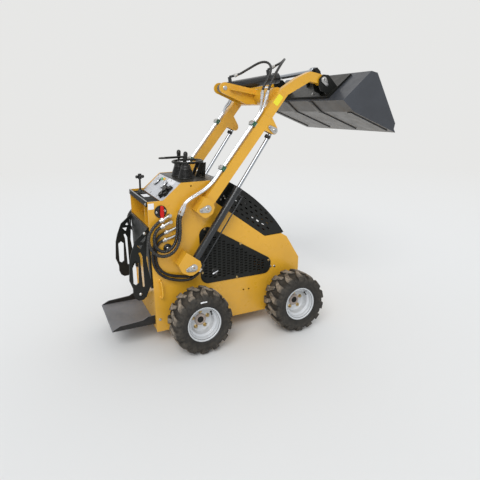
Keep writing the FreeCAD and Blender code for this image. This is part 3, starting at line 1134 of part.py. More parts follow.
# Bucket: one padded outline shelled to sheet, open at the mouth, with wear straps under it.
bucket = body("Bucket")
sk = sketch(bucket, "BucketOutline")
polygon(sk, corners_of("bucket"))
grow(bucket, "Pad", "BucketPad", sk, "bucket_half * 2")
before = volume_of(bucket)
sk = sketch(bucket, "BucketRoom")
within = inset(corners_of("bucket"), "bucket_wall")
polygon(sk, within[0:3] + [("bucket_lip_x + 200", "bucket_lip_z + 40"), ("bucket_brow_x + 300", "bucket_brow_z + 60"),
                           ("bucket_brow_x + 40", "bucket_brow_z - 12")] + within[5:])
room = grow(bucket, "Pocket", "BucketPocket", sk, "bucket_half * 2 - bucket_wall * 2")
bucket.Tip = room
cut_check(bucket, room, before)
for name, share in (("far", 0.9), ("far_middle", 0.3), ("near_middle", -0.3), ("near", -0.9)):
    sk = sketch(bucket, "Strap_" + name, offset="-bucket_half * %s" % share)
    polygon(sk, [("bucket_heel_low_x + 8", "bucket_heel_low_z - 1"), ("bucket_lip_x - 40", "bucket_lip_z + 18"),
                 ("bucket_lip_x - 44 - strap_wall * 0.383", "bucket_lip_z + 18 - strap_wall * 0.924"),
                 ("bucket_heel_low_x + 2 - strap_wall * 0.383", "bucket_heel_low_z - 1 - strap_wall * 0.924")])
    bucket.Tip = grow(bucket, "Pad", "StrapPad_" + name, sk, "strap_width")
node(bucket, "bucket")

# Coupler: mounting plate on the bucket's back with lugs for the arms and the tilt rod.
plate = body("CouplerPlate")
sk = sketch(plate, "CouplerProfile")
polygon(sk, [("bucket_heel_high_x + 20", "bucket_heel_high_z + 17"), ("bucket_heel_high_x + 8", "bucket_heel_high_z + 32"),
             ("bucket_back_high_x - 30", "bucket_back_high_z - 7"), ("bucket_back_high_x - 17", "bucket_back_high_z - 14")])
grow(plate, "Pad", "CouplerPad", sk, "coupler_half * 2")
pieces = [plate]
for word, side in SIDES:
    for spot, sign in (("Out", "+"), ("In", "-")):
        lug = body("Lug%s_%s" % (spot, word))
        sk = sketch(lug, "Lug%sOutline_%s" % (spot, word))
        polygon(sk, corners_of("lug"))
        grow(lug, "Pad", "Lug%sPad_%s" % (spot, word), sk, "lug_wall")
        lug.setExpression(".Placement.Base.y",
                          bound(signed(side, "(%s %s (arm_width / 2 + coupler_gap + lug_wall / 2))" % (ARM_Y, sign))))
        pieces.append(lug)
    pieces.append(cylinder("LugPin_" + word, "pin_radius", "arm_width + coupler_gap * 2 + lug_wall * 2 + pin_proud * 2",
                           "tip_pin_x", signed(side, ARM_Y), "tip_pin_z"))
    lug = body("TiltLug_" + word)
    sk = sketch(lug, "TiltLugOutline_" + word)
    polygon(sk, corners_of("tilt_lug"))
    grow(lug, "Pad", "TiltLugPad_" + word, sk, "lug_wall")
    lug.setExpression(".Placement.Base.y", bound(signed(side, "(tilt_eye_width / 2 + lug_wall / 2 + eye_gap)")))
    pieces.append(lug)
    stub = cylinder("TiltStub_" + word, "tilt_pin", "lug_wall + eye_gap + pin_proud + 4", "tilt_pin_x",
                    "tilt_eye_width / 2" if side > 0 else "-tilt_eye_width / 2 - lug_wall - eye_gap - pin_proud - 4",
                    "tilt_pin_z", centred=False)
    pieces.append(stub)
node(join("CouplerWeld", pieces), "coupler")

doc.recompute()
for obj in doc.Objects:
    if "Invalid" in obj.State or "Error" in obj.State:
        raise ValueError("%s (%s) failed: %s" % (obj.Name, obj.Label, obj.State))
os.makedirs("parts", exist_ok=True)
low = [1e9] * 3
high = [-1e9] * 3
for obj, solids in NODES:
    shape = obj.Shape
    if shape.isNull() or not shape.isValid() or len(shape.Solids) != solids:
        raise ValueError("%s: null, invalid or %d solids" % (obj.Label, len(shape.Solids)))
    box = shape.BoundBox
    low = [min(a, b) for a, b in zip(low, (box.XMin, box.YMin, box.ZMin))]
    high = [max(a, b) for a, b in zip(high, (box.XMax, box.YMax, box.ZMax))]
    shape.exportStep("parts/%s.step" % obj.Label)
print(len(NODES), "nodes, box", [round(v, 1) for v in low], [round(v, 1) for v in high])
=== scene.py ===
import math
import bmesh
import bpy
from mathutils import Matrix, Vector


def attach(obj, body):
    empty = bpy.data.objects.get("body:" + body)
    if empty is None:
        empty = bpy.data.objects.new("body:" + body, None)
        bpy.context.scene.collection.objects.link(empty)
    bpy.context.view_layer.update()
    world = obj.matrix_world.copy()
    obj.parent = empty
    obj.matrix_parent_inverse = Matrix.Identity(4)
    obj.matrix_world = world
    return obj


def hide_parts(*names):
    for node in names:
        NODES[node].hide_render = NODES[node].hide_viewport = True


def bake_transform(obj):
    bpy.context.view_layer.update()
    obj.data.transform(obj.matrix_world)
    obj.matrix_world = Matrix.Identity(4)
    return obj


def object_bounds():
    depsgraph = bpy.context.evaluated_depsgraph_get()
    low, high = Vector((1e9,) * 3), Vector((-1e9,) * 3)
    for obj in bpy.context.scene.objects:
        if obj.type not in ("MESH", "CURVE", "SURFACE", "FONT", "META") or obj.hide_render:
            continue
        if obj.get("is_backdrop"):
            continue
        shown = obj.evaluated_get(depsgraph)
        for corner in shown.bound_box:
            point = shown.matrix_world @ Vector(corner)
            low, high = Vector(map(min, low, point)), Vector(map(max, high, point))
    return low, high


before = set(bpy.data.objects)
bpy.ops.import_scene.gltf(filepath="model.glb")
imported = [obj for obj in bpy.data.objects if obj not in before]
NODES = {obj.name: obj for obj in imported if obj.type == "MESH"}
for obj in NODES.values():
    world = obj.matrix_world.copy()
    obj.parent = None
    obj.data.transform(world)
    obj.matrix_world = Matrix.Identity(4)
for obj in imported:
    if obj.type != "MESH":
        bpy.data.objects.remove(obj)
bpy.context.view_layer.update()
AXLE = -466.0          # rear axle in the row frame, millimetres
SIDES = (("left", 1), ("right", -1))


def at(x, y, z):
    """A place stated in millimetres from the rear axle, in metres in the row frame."""
    return Vector(((x + AXLE) / 1000, y / 1000, z / 1000))


# ---------------------------------------------------------------- materials
def nodes_of(name):
    mat = bpy.data.materials.new(name)
    mat.use_nodes = True
    tree = mat.node_tree
    return mat, tree, tree.nodes["Principled BSDF"]


def link(tree, a, b):
    tree.links.new(a, b)


def noise(tree, scale, detail=4.0, rough=0.55, stretch=None):
    coord = tree.nodes.new("ShaderNodeTexCoord")
    out = coord.outputs["Object"]
    if stretch:
        mapping = tree.nodes.new("ShaderNodeMapping")
        mapping.inputs["Scale"].default_value = stretch
        link(tree, out, mapping.inputs["Vector"])
        out = mapping.outputs["Vector"]
    tex = tree.nodes.new("ShaderNodeTexNoise")
    tex.inputs["Scale"].default_value = scale
    tex.inputs["Detail"].default_value = detail
    tex.inputs["Roughness"].default_value = rough
    link(tree, out, tex.inputs["Vector"])
    return tex.outputs["Fac"]


def ramp(tree, source, low, high, a=0.0, b=1.0):
    node = tree.nodes.new("ShaderNodeMapRange")
    node.inputs["From Min"].default_value = low
    node.inputs["From Max"].default_value = high
    node.inputs["To Min"].default_value = a
    node.inputs["To Max"].default_value = b
    link(tree, source, node.inputs["Value"])
    return node.outputs["Result"]


def maths(tree, kind, a, b):
    node = tree.nodes.new("ShaderNodeMath")
    node.operation = kind
    for socket, value in zip(node.inputs, (a, b)):
        if isinstance(value, (int, float)):
            socket.default_value = value
        else:
            link(tree, value, socket)
    return node.outputs["Value"]


def mix(tree, factor, a, b):
    node = tree.nodes.new("ShaderNodeMix")
    node.data_type = "RGBA"
    link(tree, factor, node.inputs["Factor"])
    for socket, value in ((node.inputs[6], a), (node.inputs[7], b)):
        if isinstance(value, tuple):
            socket.default_value = (*value, 1.0)
        else:
            link(tree, value, socket)
    return node.outputs[2]


def bump(tree, shader, height, strength, distance):
    node = tree.nodes.new("ShaderNodeBump")
    node.inputs["Strength"].default_value = strength
    node.inputs["Distance"].default_value = distance
    link(tree, height, node.inputs["Height"])
    link(tree, node.outputs["Normal"], shader.inputs["Normal"])


def facing(tree, axis):
    """One part of the surface's direction in the piece's own frame, so that dirt stays put at every pose."""
    coord = tree.nodes.new("ShaderNodeTexCoord")
    split = tree.nodes.new("ShaderNodeSeparateXYZ")
    link(tree, coord.outputs["Normal"], split.inputs[0])
    return split.outputs[axis]


def upward(tree):
    """How far a surface looks up, 0 to 1."""
    return ramp(tree, facing(tree, "Z"), 0.35, 1.0)


def height_of(tree):
    coord = tree.nodes.new("ShaderNodeTexCoord")
    split = tree.nodes.new("ShaderNodeSeparateXYZ")
    link(tree, coord.outputs["Object"], split.inputs[0])
    return split.outputs["Z"]


DUST = (0.42, 0.36, 0.28)


def paint(name, colour, rough, coat=0.0, metallic=0.0, cloud=0.1, dust=0.25, low_dust=0.3, grain=900, grain_height=0.12, shine=0.5, flank=None, under=None):
    """Sprayed paint: cloudy shade, fine orange peel, dust on what looks up and low down, scuffed gloss."""
    mat, tree, shader = nodes_of(name)
    dark = tuple(c * (1 - cloud) for c in colour)
    light = tuple(min(1.0, c * (1 + cloud)) for c in colour)
    base = mix(tree, ramp(tree, noise(tree, 5.0, 6.0), 0.3, 0.7), dark, light)
    if flank:
        base = mix(tree, ramp(tree, maths(tree, "ABSOLUTE", facing(tree, "Y"), 0.0), 0.35, 0.55), base, flank)
    if under:
        down = ramp(tree, facing(tree, "Z"), -0.3, -0.8, 0.0, 1.0)
        patch = ramp(tree, noise(tree, 9.0, 8.0, 0.65), 0.36, 0.66, 0.55, 1.0)
        base = mix(tree, maths(tree, "MULTIPLY", down, patch), base, under)
    grime = ramp(tree, noise(tree, 38.0, 8.0, 0.7), 0.46, 0.74)
    up = maths(tree, "MULTIPLY", upward(tree), dust)
    low = ramp(tree, height_of(tree), 0.55, 0.05, 0.0, low_dust)
    amount = maths(tree, "MULTIPLY", maths(tree, "ADD", up, low), maths(tree, "ADD", grime, 0.25))
    node = tree.nodes.new("ShaderNodeClamp")
    link(tree, amount, node.inputs["Value"])
    amount = node.outputs["Result"]
    link(tree, mix(tree, amount, base, DUST), shader.inputs["Base Color"])
    gloss = ramp(tree, noise(tree, 14.0, 5.0), 0.3, 0.7, rough - 0.06, rough + 0.09)
    link(tree, maths(tree, "ADD", gloss, maths(tree, "MULTIPLY", amount, 0.4)), shader.inputs["Roughness"])
    shader.inputs["Metallic"].default_value = metallic
    shader.inputs["Specular IOR Level"].default_value = shine
    shader.inputs["Coat Weight"].default_value = coat
    shader.inputs["Coat Roughness"].default_value = 0.12
    bump(tree, shader, noise(tree, grain, 2.0), grain_height, 0.0004)
    return mat


def metal(name, colour, rough, streak=None, tarnish=0.25, tarnish_colour=(0.25, 0.2, 0.14), scratch=0.08, solid=1.0):
    """Bare or plated metal with fine scratches and a little tarnish."""
    mat, tree, shader = nodes_of(name)
    spots = ramp(tree, noise(tree, 60.0, 8.0, 0.65), 0.5, 0.8, 0.0, tarnish)
    link(tree, mix(tree, spots, colour, tarnish_colour), shader.inputs["Base Color"])
    shader.inputs["Metallic"].default_value = solid
    fine = noise(tree, 220.0, 3.0, 0.5, streak)
    link(tree, ramp(tree, fine, 0.3, 0.7, max(0.03, rough - 0.05), rough + 0.1), shader.inputs["Roughness"])
    bump(tree, shader, fine, scratch, 0.0003)
    return mat


def rubber(name, colour, rough=0.62, dust=0.2, grain=420, height=0.25, shine=0.3):
    mat, tree, shader = nodes_of(name)
    shader.inputs["Specular IOR Level"].default_value = shine
    light = tuple(c * 1.7 + 0.004 for c in colour)
    base = mix(tree, ramp(tree, noise(tree, 24.0, 6.0), 0.35, 0.7), colour, light)
    amount = maths(tree, "MULTIPLY", ramp(tree, noise(tree, 55.0, 8.0, 0.7), 0.5, 0.8), dust)
    link(tree, mix(tree, amount, base, DUST), shader.inputs["Base Color"])
    link(tree, ramp(tree, noise(tree, 30.0), 0.3, 0.7, rough - 0.08, rough + 0.1), shader.inputs["Roughness"])
    bump(tree, shader, noise(tree, grain, 3.0), height, 0.0006)
    return mat


def tyre_rubber(name, axle_x):
    """Tyre: dark in the grooves and on the walls, dusty tan on the lug faces, with fine scuffs."""
    mat, tree, shader = nodes_of(name)
    shader.inputs["Specular IOR Level"].default_value = 0.25
    coord = tree.nodes.new("ShaderNodeTexCoord")
    split = tree.nodes.new("ShaderNodeSeparateXYZ")
    link(tree, coord.outputs["Object"], split.inputs[0])
    dx = maths(tree, "SUBTRACT", split.outputs["X"], axle_x)
    dz = maths(tree, "SUBTRACT", split.outputs["Z"], 0.205)
    radius = maths(tree, "SQRT", maths(tree, "ADD", maths(tree, "MULTIPLY", dx, dx), maths(tree, "MULTIPLY", dz, dz)), 0.0)
    patch = ramp(tree, noise(tree, 34.0, 8.0, 0.7), 0.38, 0.68)
    tread = ramp(tree, radius, 0.1935, 0.203)
    wall = ramp(tree, radius, 0.110, 0.178, 0.02, 0.13)
    amount = maths(tree, "ADD", maths(tree, "MULTIPLY", tread, 0.72), wall)
    amount = maths(tree, "MULTIPLY", amount, maths(tree, "ADD", maths(tree, "MULTIPLY", patch, 0.9), 0.16))
    base = mix(tree, ramp(tree, noise(tree, 12.0), 0.3, 0.7), (0.010, 0.010, 0.0095), (0.024, 0.0235, 0.022))
    link(tree, mix(tree, amount, base, (0.46, 0.385, 0.30)), shader.inputs["Base Color"])
    link(tree, ramp(tree, patch, 0.0, 1.0, 0.62, 0.85), shader.inputs["Roughness"])
    bump(tree, shader, noise(tree, 300.0, 6.0, 0.7), 0.35, 0.0012)
    return mat


YELLOW = paint("yellow_paint", (0.70, 0.365, 0.022), 0.30, coat=0.35, cloud=0.07, dust=0.05, low_dust=0.14)
BLACK = paint("black_paint", (0.007, 0.0075, 0.0065), 0.34, coat=0.1, cloud=0.3, dust=0.12, low_dust=0.05, shine=0.25)
PANEL = paint("panel_black", (0.008, 0.009, 0.008), 0.42, cloud=0.3, dust=0.1, low_dust=0.06, shine=0.25)
GLOSS = paint("gloss_black", (0.005, 0.005, 0.005), 0.2, coat=0.2, cloud=0.2, dust=0.08, low_dust=0.0, shine=0.35)
BUCKET = paint("bucket_paint", (0.034, 0.039, 0.049), 0.36, coat=0.2, cloud=0.22, dust=0.1, low_dust=0.0, shine=0.45, under=(0.088, 0.068, 0.042))
DECK = paint("deck_paint", (0.150, 0.155, 0.170), 0.5, cloud=0.16, dust=0.12, low_dust=0.04, metallic=0.2, flank=(0.008, 0.008, 0.008))
CONSOLE = paint("console_paint", (0.56, 0.57, 0.60), 0.38, cloud=0.05, dust=0.1, low_dust=0.0)
SILVER = paint("rim_paint", (0.56, 0.58, 0.60), 0.42, metallic=0.15, cloud=0.06, dust=0.1, low_dust=0.14)
TRAY = paint("tray_black", (0.006, 0.006, 0.006), 0.5, cloud=0.2, dust=0.03, low_dust=0.0, shine=0.08)
BARREL = paint("barrel_paint", (0.013, 0.015, 0.018), 0.24, coat=0.35, cloud=0.2, dust=0.08, low_dust=0.0, shine=0.4)
IRON = paint("motor_iron", (0.016, 0.016, 0.016), 0.55, cloud=0.3, dust=0.2, low_dust=0.2, shine=0.3)
RUST = paint("hub_rust", (0.40, 0.33, 0.29), 0.7, cloud=0.25, dust=0.3, low_dust=0.2)
GREEN = paint("clamp_green", (0.016, 0.095, 0.047), 0.5, cloud=0.15, dust=0.2, low_dust=0.0, grain=300)
RED = paint("key_red", (0.56, 0.008, 0.006), 0.35, cloud=0.1, dust=0.02, low_dust=0.0, shine=0.3)
WHITE = paint("blank_label", (0.80, 0.80, 0.82), 0.45, cloud=0.03, dust=0.04, low_dust=0.05)
DECAL = paint("blank_decal", (0.80, 0.72, 0.03), 0.3, cloud=0.05, dust=0.05, low_dust=0.0)
CHROME = metal("chrome", (0.60, 0.615, 0.64), 0.2, tarnish=0.04, scratch=0.0, solid=0.75)
ROD = metal("rod_chrome", (0.36, 0.38, 0.41), 0.14, tarnish=0.03, scratch=0.0)
STEEL = metal("zinc_steel", (0.55, 0.55, 0.54), 0.28, tarnish=0.3)
GOLD = metal("zinc_gold", (0.50, 0.37, 0.17), 0.32, tarnish=0.3)
# Bare steel for bolts and collars; the same material also paints the highlight strips on the tray lip and the back
# plate's edge.
WORN_STEEL_AND_HIGHLIGHT = metal("worn_steel_and_painted_highlight", (0.42, 0.42, 0.43), 0.38, (1.0, 6.0, 1.0), tarnish=0.35)
RUBBER = rubber("black_rubber", (0.007, 0.007, 0.007), 0.36, 0.07, shine=0.4)
HOSE = rubber("hose_rubber", (0.007, 0.007, 0.0075), 0.46, 0.1, 700, 0.15)
GUARD = rubber("hose_guard", (0.009, 0.009, 0.009), 0.33, 0.14, 500, 0.2, shine=0.5)
TYRES = {"rear": tyre_rubber("tyre_rear", -0.466), "front": tyre_rubber("tyre_front", 0.25)}

CAD_LOOK = {
    "tyre_rear": TYRES["rear"], "tyre_front": TYRES["front"], "rim": SILVER, "wheel_motors": IRON, "side_plate": YELLOW,
    "body_tub": YELLOW, "engine_block": IRON, "rear_tray": TRAY, "console": CONSOLE, "control_levers": BLACK, "hood": BLACK,
    "side_grille": PANEL, "platform": DECK, "leg_guard": PANEL, "isolator_switch": BLACK, "lift_arm": YELLOW,
    "cross_tube": YELLOW, "lift_barrel": BARREL, "lift_rod": ROD, "tilt_barrel": BARREL, "tilt_rod": ROD,
    "arm_pipes": CHROME, "ports": STEEL, "bucket": BUCKET, "coupler": BLACK, "hose": HOSE,
}
for node_name, obj in NODES.items():
    look = CAD_LOOK[max((k for k in CAD_LOOK if node_name.startswith(k)), key=len)]
    obj.data.materials.clear()
    obj.data.materials.append(look)


# ---------------------------------------------------------------- mesh helpers
def add(name, bm, material, body=None, smooth=35, bevel=0.0, segments=2):
    """A finished piece from a bmesh: bevelled edges, smooth faces with sharp creases, riding on its body."""
    bmesh.ops.remove_doubles(bm, verts=bm.verts, dist=1e-6)
    bmesh.ops.recalc_face_normals(bm, faces=bm.faces)
    mesh = bpy.data.meshes.new(name)
    bm.to_mesh(mesh)
    bm.free()
    for m in material if isinstance(material, (list, tuple)) else (material,):
        mesh.materials.append(m)
    obj = bpy.data.objects.new(name, mesh)
    bpy.context.scene.collection.objects.link(obj)
    if bevel:
        mod = obj.modifiers.new("edge", "BEVEL")
        mod.width, mod.segments, mod.limit_method, mod.angle_limit = bevel / 1000, segments, "ANGLE", math.radians(35)
        fixed = bpy.data.meshes.new_from_object(obj.evaluated_get(bpy.context.evaluated_depsgraph_get()))
        obj.modifiers.clear()
        obj.data = fixed
        mesh = fixed
    mesh.polygons.foreach_set("use_smooth", [True] * len(mesh.polygons))
    mesh.set_sharp_from_angle(angle=math.radians(smooth))
    if body:
        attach(obj, body)
    return obj


def turned(bm, profile, centre, axis=(0, 1, 0), count=48, closed=False, index=0, start=0.0):
    """Revolves (radius, height) pairs in millimetres about an axis through centre."""
    axis = Vector(axis).normalized()
    side = axis.orthogonal().normalized()
    other = axis.cross(side)
    rings = []
    for radius, height in profile:
        if radius < 1e-6:
            rings.append([bm.verts.new(centre + axis * height / 1000)] * count)
            continue
        rings.append([bm.verts.new(centre + axis * height / 1000 + (side * math.cos(a) + other * math.sin(a)) * radius / 1000)
                      for a in (start + 2 * math.pi * k / count for k in range(count))])
    pairs = list(zip(rings, rings[1:])) + ([(rings[-1], rings[0])] if closed else [])
    for low, high in pairs:
        for k in range(count):
            n = (k + 1) % count
            corners = []
            for v in (low[k], low[n], high[n], high[k]):
                if v not in corners:
                    corners.append(v)
            if len(corners) > 2:
                face = bm.faces.new(corners)
                face.material_index = index
    return rings


def prism(bm, outline, low, high, index=0):
    """A plate: an outline of points moved from one offset to another, both vectors in metres."""
    a = [bm.verts.new(p + low) for p in outline]
    b = [bm.verts.new(p + high) for p in outline]
    faces = [bm.faces.new(a[::-1]), bm.faces.new(b)]
    for k in range(len(a)):
        n = (k + 1) % len(a)
        faces.append(bm.faces.new((a[k], a[n], b[n], b[k])))
    for face in faces:
        face.material_index = index
    return faces


def brick(bm, centre, size, turn=None, index=0):
    """A block about a centre, size in millimetres, turned by a matrix."""
    made = bmesh.ops.create_cube(bm, size=1.0)["verts"]
    for v in made:
        v.co = Vector((v.co.x * size[0], v.co.y * size[1], v.co.z * size[2])) / 1000
        if turn:
            v.co = turn @ v.co
        v.co += centre
    for face in {f for v in made for f in v.link_faces}:
        face.material_index = index


def bolt(bm, centre, axis, radius, height, index=0, washer=True):
    """Hexagon head on a washer, in millimetres."""
    if washer:
        turned(bm, [(0, -1), (radius * 1.45, -1), (radius * 1.45, 0.9), (radius * 1.3, 1.6), (0, 1.6)], centre, axis, 24, index=index)
    turned(bm, [(radius, 1.0), (radius, height * 0.82), (radius * 0.86, height), (0, height)], centre, axis, 6, index=index)


def curve_points(route, bevel=None, resolution=10):
    """A NURBS line through the route's control points, as a mesh: its points in order, or a tube round it."""
    data = bpy.data.curves.new("route", "CURVE")
    data.dimensions = "3D"
    data.resolution_u = resolution
    spline = data.splines.new("NURBS")
    spline.points.add(len(route) - 1)
    for point, spot in zip(spline.points, route):
        point.co = (*spot, 1.0)
    spline.order_u = 3
    spline.use_endpoint_u = True
    if bevel:
        data.bevel_depth = bevel / 1000
        data.bevel_resolution = 5
        data.use_fill_caps = True
    obj = bpy.data.objects.new("route", data)
    bpy.context.scene.collection.objects.link(obj)
    mesh = bpy.data.meshes.new_from_object(obj.evaluated_get(bpy.context.evaluated_depsgraph_get()))
    bpy.data.objects.remove(obj)
    return mesh


# ---------------------------------------------------------------- camera
YAW, PITCH, ROLL = math.radians(23.308), math.radians(7.1886), math.radians(-0.8168)
view_dir = Vector((math.sin(YAW) * math.cos(PITCH), math.cos(YAW) * math.cos(PITCH), -math.sin(PITCH)))
level = Vector((math.cos(YAW), -math.sin(YAW), 0.0))
rise = level.cross(view_dir)
right = level * math.cos(ROLL) + rise * math.sin(ROLL)
up = rise * math.cos(ROLL) - level * math.sin(ROLL)
lens = bpy.data.cameras.new("camera")
lens.sensor_width = 36.0
lens.lens = 450.358 / 480 * 36
lens.shift_x = (240 - 221.087) / 480
lens.shift_y = (163.193 - 240) / 480
camera = bpy.data.objects.new("camera", lens)
turn = Matrix((right, up, -view_dir)).transposed().to_4x4()
camera.matrix_world = Matrix.Translation(at(-968.996, -3038.701, 1585.352)) @ turn
bpy.context.scene.collection.objects.link(camera)
bpy.context.scene.camera = camera

# ---------------------------------------------------------------- hoses: the same points as the CAD routes
ROUTES = {
    "boom_in": [(-84.9, -301, 904.5), (-102.4, -301, 874.1), (-104, -301, 828), (-106, -300, 782), (-111, -299, 738),
                (-126, -298, 696), (-154, -297, 665), (-190, -297, 653), (-226, -297, 664), (-253, -296, 696),
                (-262, -295, 738), (-257, -293, 772), (-243, -290.5, 798), (-224, -289, 812.6), (-203, -289, 822)],
    "boom_out": [(-80.7, -325, 902.3), (-93, -325, 875), (-95, -325, 828), (-94, -325, 776), (-100, -322, 722),
                 (-120, -321, 672), (-158, -320, 639), (-206, -320, 630), (-251, -320, 646), (-286, -319, 682),
                 (-302, -315, 727), (-300, -310, 768), (-284, -303, 802), (-238.6, -292, 848.2), (-208, -292, 863)],
    "lift_out": [(-176, -276, 777), (-202.6, -276, 768.3), (-230, -275, 748), (-251, -274, 716), (-263, -273, 678),
                 (-269, -273, 638), (-268, -273, 597), (-259, -274, 558), (-242, -276, 524), (-216, -279, 494),
                 (-180, -285, 470), (-134, -295, 455), (-86, -307, 447), (-38, -317, 448), (-8, -323, 461),
                 (20.4, -325, 481.5), (37.5, -325, 506.1)],
    "lift_in": [(-188, -276, 727), (-211.2, -276, 720.9), (-232, -275, 704), (-243, -274, 676), (-248, -273, 640),
                (-248, -273, 600), (-240, -274, 564), (-223, -276, 532), (-196, -279, 506), (-160, -283, 487),
                (-118, -288, 476), (-74, -293, 468), (-32, -298, 462), (-4, -301, 466), (20.4, -301, 481.5),
                (37.5, -301, 506.1)],
    "tilt_rear": [(525.8, -301, 1676.6), (529.5, -301, 1706.4), (549, -301, 1737), (572, -297, 1772), (594, -288, 1808),
                  (608, -274, 1842), (611, -254, 1868), (604, -228, 1886), (590, -196, 1892), (574, -164, 1887),
                  (556, -132, 1874), (534, -102, 1856), (508, -76, 1838), (480.3, -44, 1815.8), (456.2, -27.5, 1808.9)],
    "tilt_front": [(553.4, -325, 1675.1), (562.8, -325, 1703.5), (578, -325, 1738), (597, -322, 1772), (621, -315, 1806),
                   (653, -299, 1841), (692, -273, 1878), (733, -237, 1905), (768, -188, 1916), (790, -135, 1912),
                   (798, -88, 1900), (785.7, -48.4, 1887.4), (767.2, -31, 1875.6)],
}
# Node stem, radius, crimp radius, guard ring, body at its start and at its end.
HOSES = [("hose_tilt_rear", "tilt_rear", -1, 9, 7.6, "arms", "tilt_barrel_body"),
         ("hose_tilt_front", "tilt_front", -1, 9, 7.6, "arms", "tilt_barrel_body")]
for word, side in SIDES:
    HOSES += [("hose_boom_in_" + word, "boom_in", side, 11, 8.8, "arms", "chassis"),
              ("hose_boom_out_" + word, "boom_out", side, 11, 8.8, "arms", "chassis"),
              ("hose_lift_out_" + word, "lift_out", side, 9, None, "chassis", "lift_barrel_body_" + word),
              ("hose_lift_in_" + word, "lift_in", side, 9, None, "chassis", "lift_barrel_body_" + word)]


def tube_along(bm, path, radius_at, count=16):
    """A tube round a path, with its radius given by the distance along it, in millimetres."""
    frames, gone = [], 0.0
    tangent = (path[1] - path[0]).normalized()
    side = tangent.orthogonal().normalized()
    for k, spot in enumerate(path):
        if k:
            gone += (spot - path[k - 1]).length * 1000
        new = (path[min(k + 1, len(path) - 1)] - path[max(k - 1, 0)]).normalized()
        side = (tangent.rotation_difference(new) @ side).normalized()
        tangent = new
        frames.append((spot, side.copy(), tangent.cross(side), gone))
    rings = [[bm.verts.new(s + (a * math.cos(t) + b * math.sin(t)) * radius_at(g) / 1000)
              for t in (2 * math.pi * k / count for k in range(count))] for s, a, b, g in frames]
    for low, high in zip(rings, rings[1:]):
        for k in range(count):
            bm.faces.new((low[k], low[(k + 1) % count], high[(k + 1) % count], high[k]))
    bm.faces.new(rings[0][::-1])
    bm.faces.new(rings[-1])
    return frames


def even_path(route, step):
    """Points at even steps along the route's own NURBS line."""
    line = [v.co.copy() for v in curve_points(route).vertices]
    out, carry = [line[0]], 0.0
    for a, b in zip(line, line[1:]):
        run = (b - a).length
        while run > 0 and carry + run >= step:
            a = a + (b - a) * ((step - carry) / run)
            out.append(a.copy())
            run, carry = (b - a).length, 0.0
        carry += run
    if (out[-1] - line[-1]).length < step * 0.3:
        out.pop()
    return out + [line[-1]]


for name, route_name, side, radius, core, first_body, last_body in HOSES:
    route = [at(x, -side * y, z) for x, y, z in ROUTES[route_name]]
    pitch = 17.0
    path = even_path(route, 0.0022 if core else 0.006)
    bm = bmesh.new()
    if core:
        # A spiral guard shows as a narrow groove once each turn.
        tube_along(bm, path, lambda g: radius - (radius - core) * (0.5 + 0.5 * math.cos(2 * math.pi * g / pitch)) ** 3, 18)
    else:
        tube_along(bm, path, lambda g: radius, 18)
    hose = add(name + "_look", bm, GUARD if core else HOSE, smooth=60)
    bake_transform(hose)
    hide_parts(name)

# ---------------------------------------------------------------- wheels
# Lug stations: offset out, share of the lead, half angle, top radius, base offset, base radius (mm, radians).
LUG = [(-9.8, 0.0, 0.058, 205.0, -9.8, 186), (10, 0.30, 0.064, 205.0, 10, 186), (28, 0.62, 0.074, 204.7, 28, 185),
       (46, 0.90, 0.090, 203.9, 46, 184), (62, 1.0, 0.106, 202.3, 61, 181), (76, 1.0, 0.111, 199.6, 73, 175),
       (87, 1.0, 0.112, 195.0, 80, 169), (94.5, 1.0, 0.112, 188.0, 85, 162), (97.8, 1.0, 0.108, 178.0, 87, 157),
       (98.0, 1.0, 0.098, 165.0, 89, 152), (96.8, 1.0, 0.080, 154.0, 90, 149)]
CARCASS = [(101, 80), (113, 84.5), (117, 87.5), (121, 91), (124, 94), (127, 95.2), (129, 94.0), (140, 95.5), (151, 96.6),
           (153, 97.6), (156, 97.6), (158, 96.2), (166, 94.6), (173, 91), (179, 85), (184, 73), (187.2, 52), (189, 26), (189.6, 0)]
RIM = [(0, 0), (58, 0), (66, 0.5), (72, 2.2), (76.5, 6.5), (78.8, 14), (79.4, 44), (80.4, 48.4), (83, 51), (88.4, 52.8),
       (92.4, 54.4), (94.2, 57.2), (94.8, 63), (95.6, 68.5), (98.6, 72.4), (101.6, 76.6), (103.6, 81), (105.6, 84.6),
       (108.4, 86), (112.6, 86), (114.6, 85), (115.6, 83), (115.6, 81), (112.4, 80.2), (100, 80), (100, 54), (84, 46)]
RIM_BACK = [(79.2, -10), (72, -6), (47, -6), (44, -8), (44, -31.6), (0, -31.6)]
PITCH_ANGLE = 2 * math.pi / 14


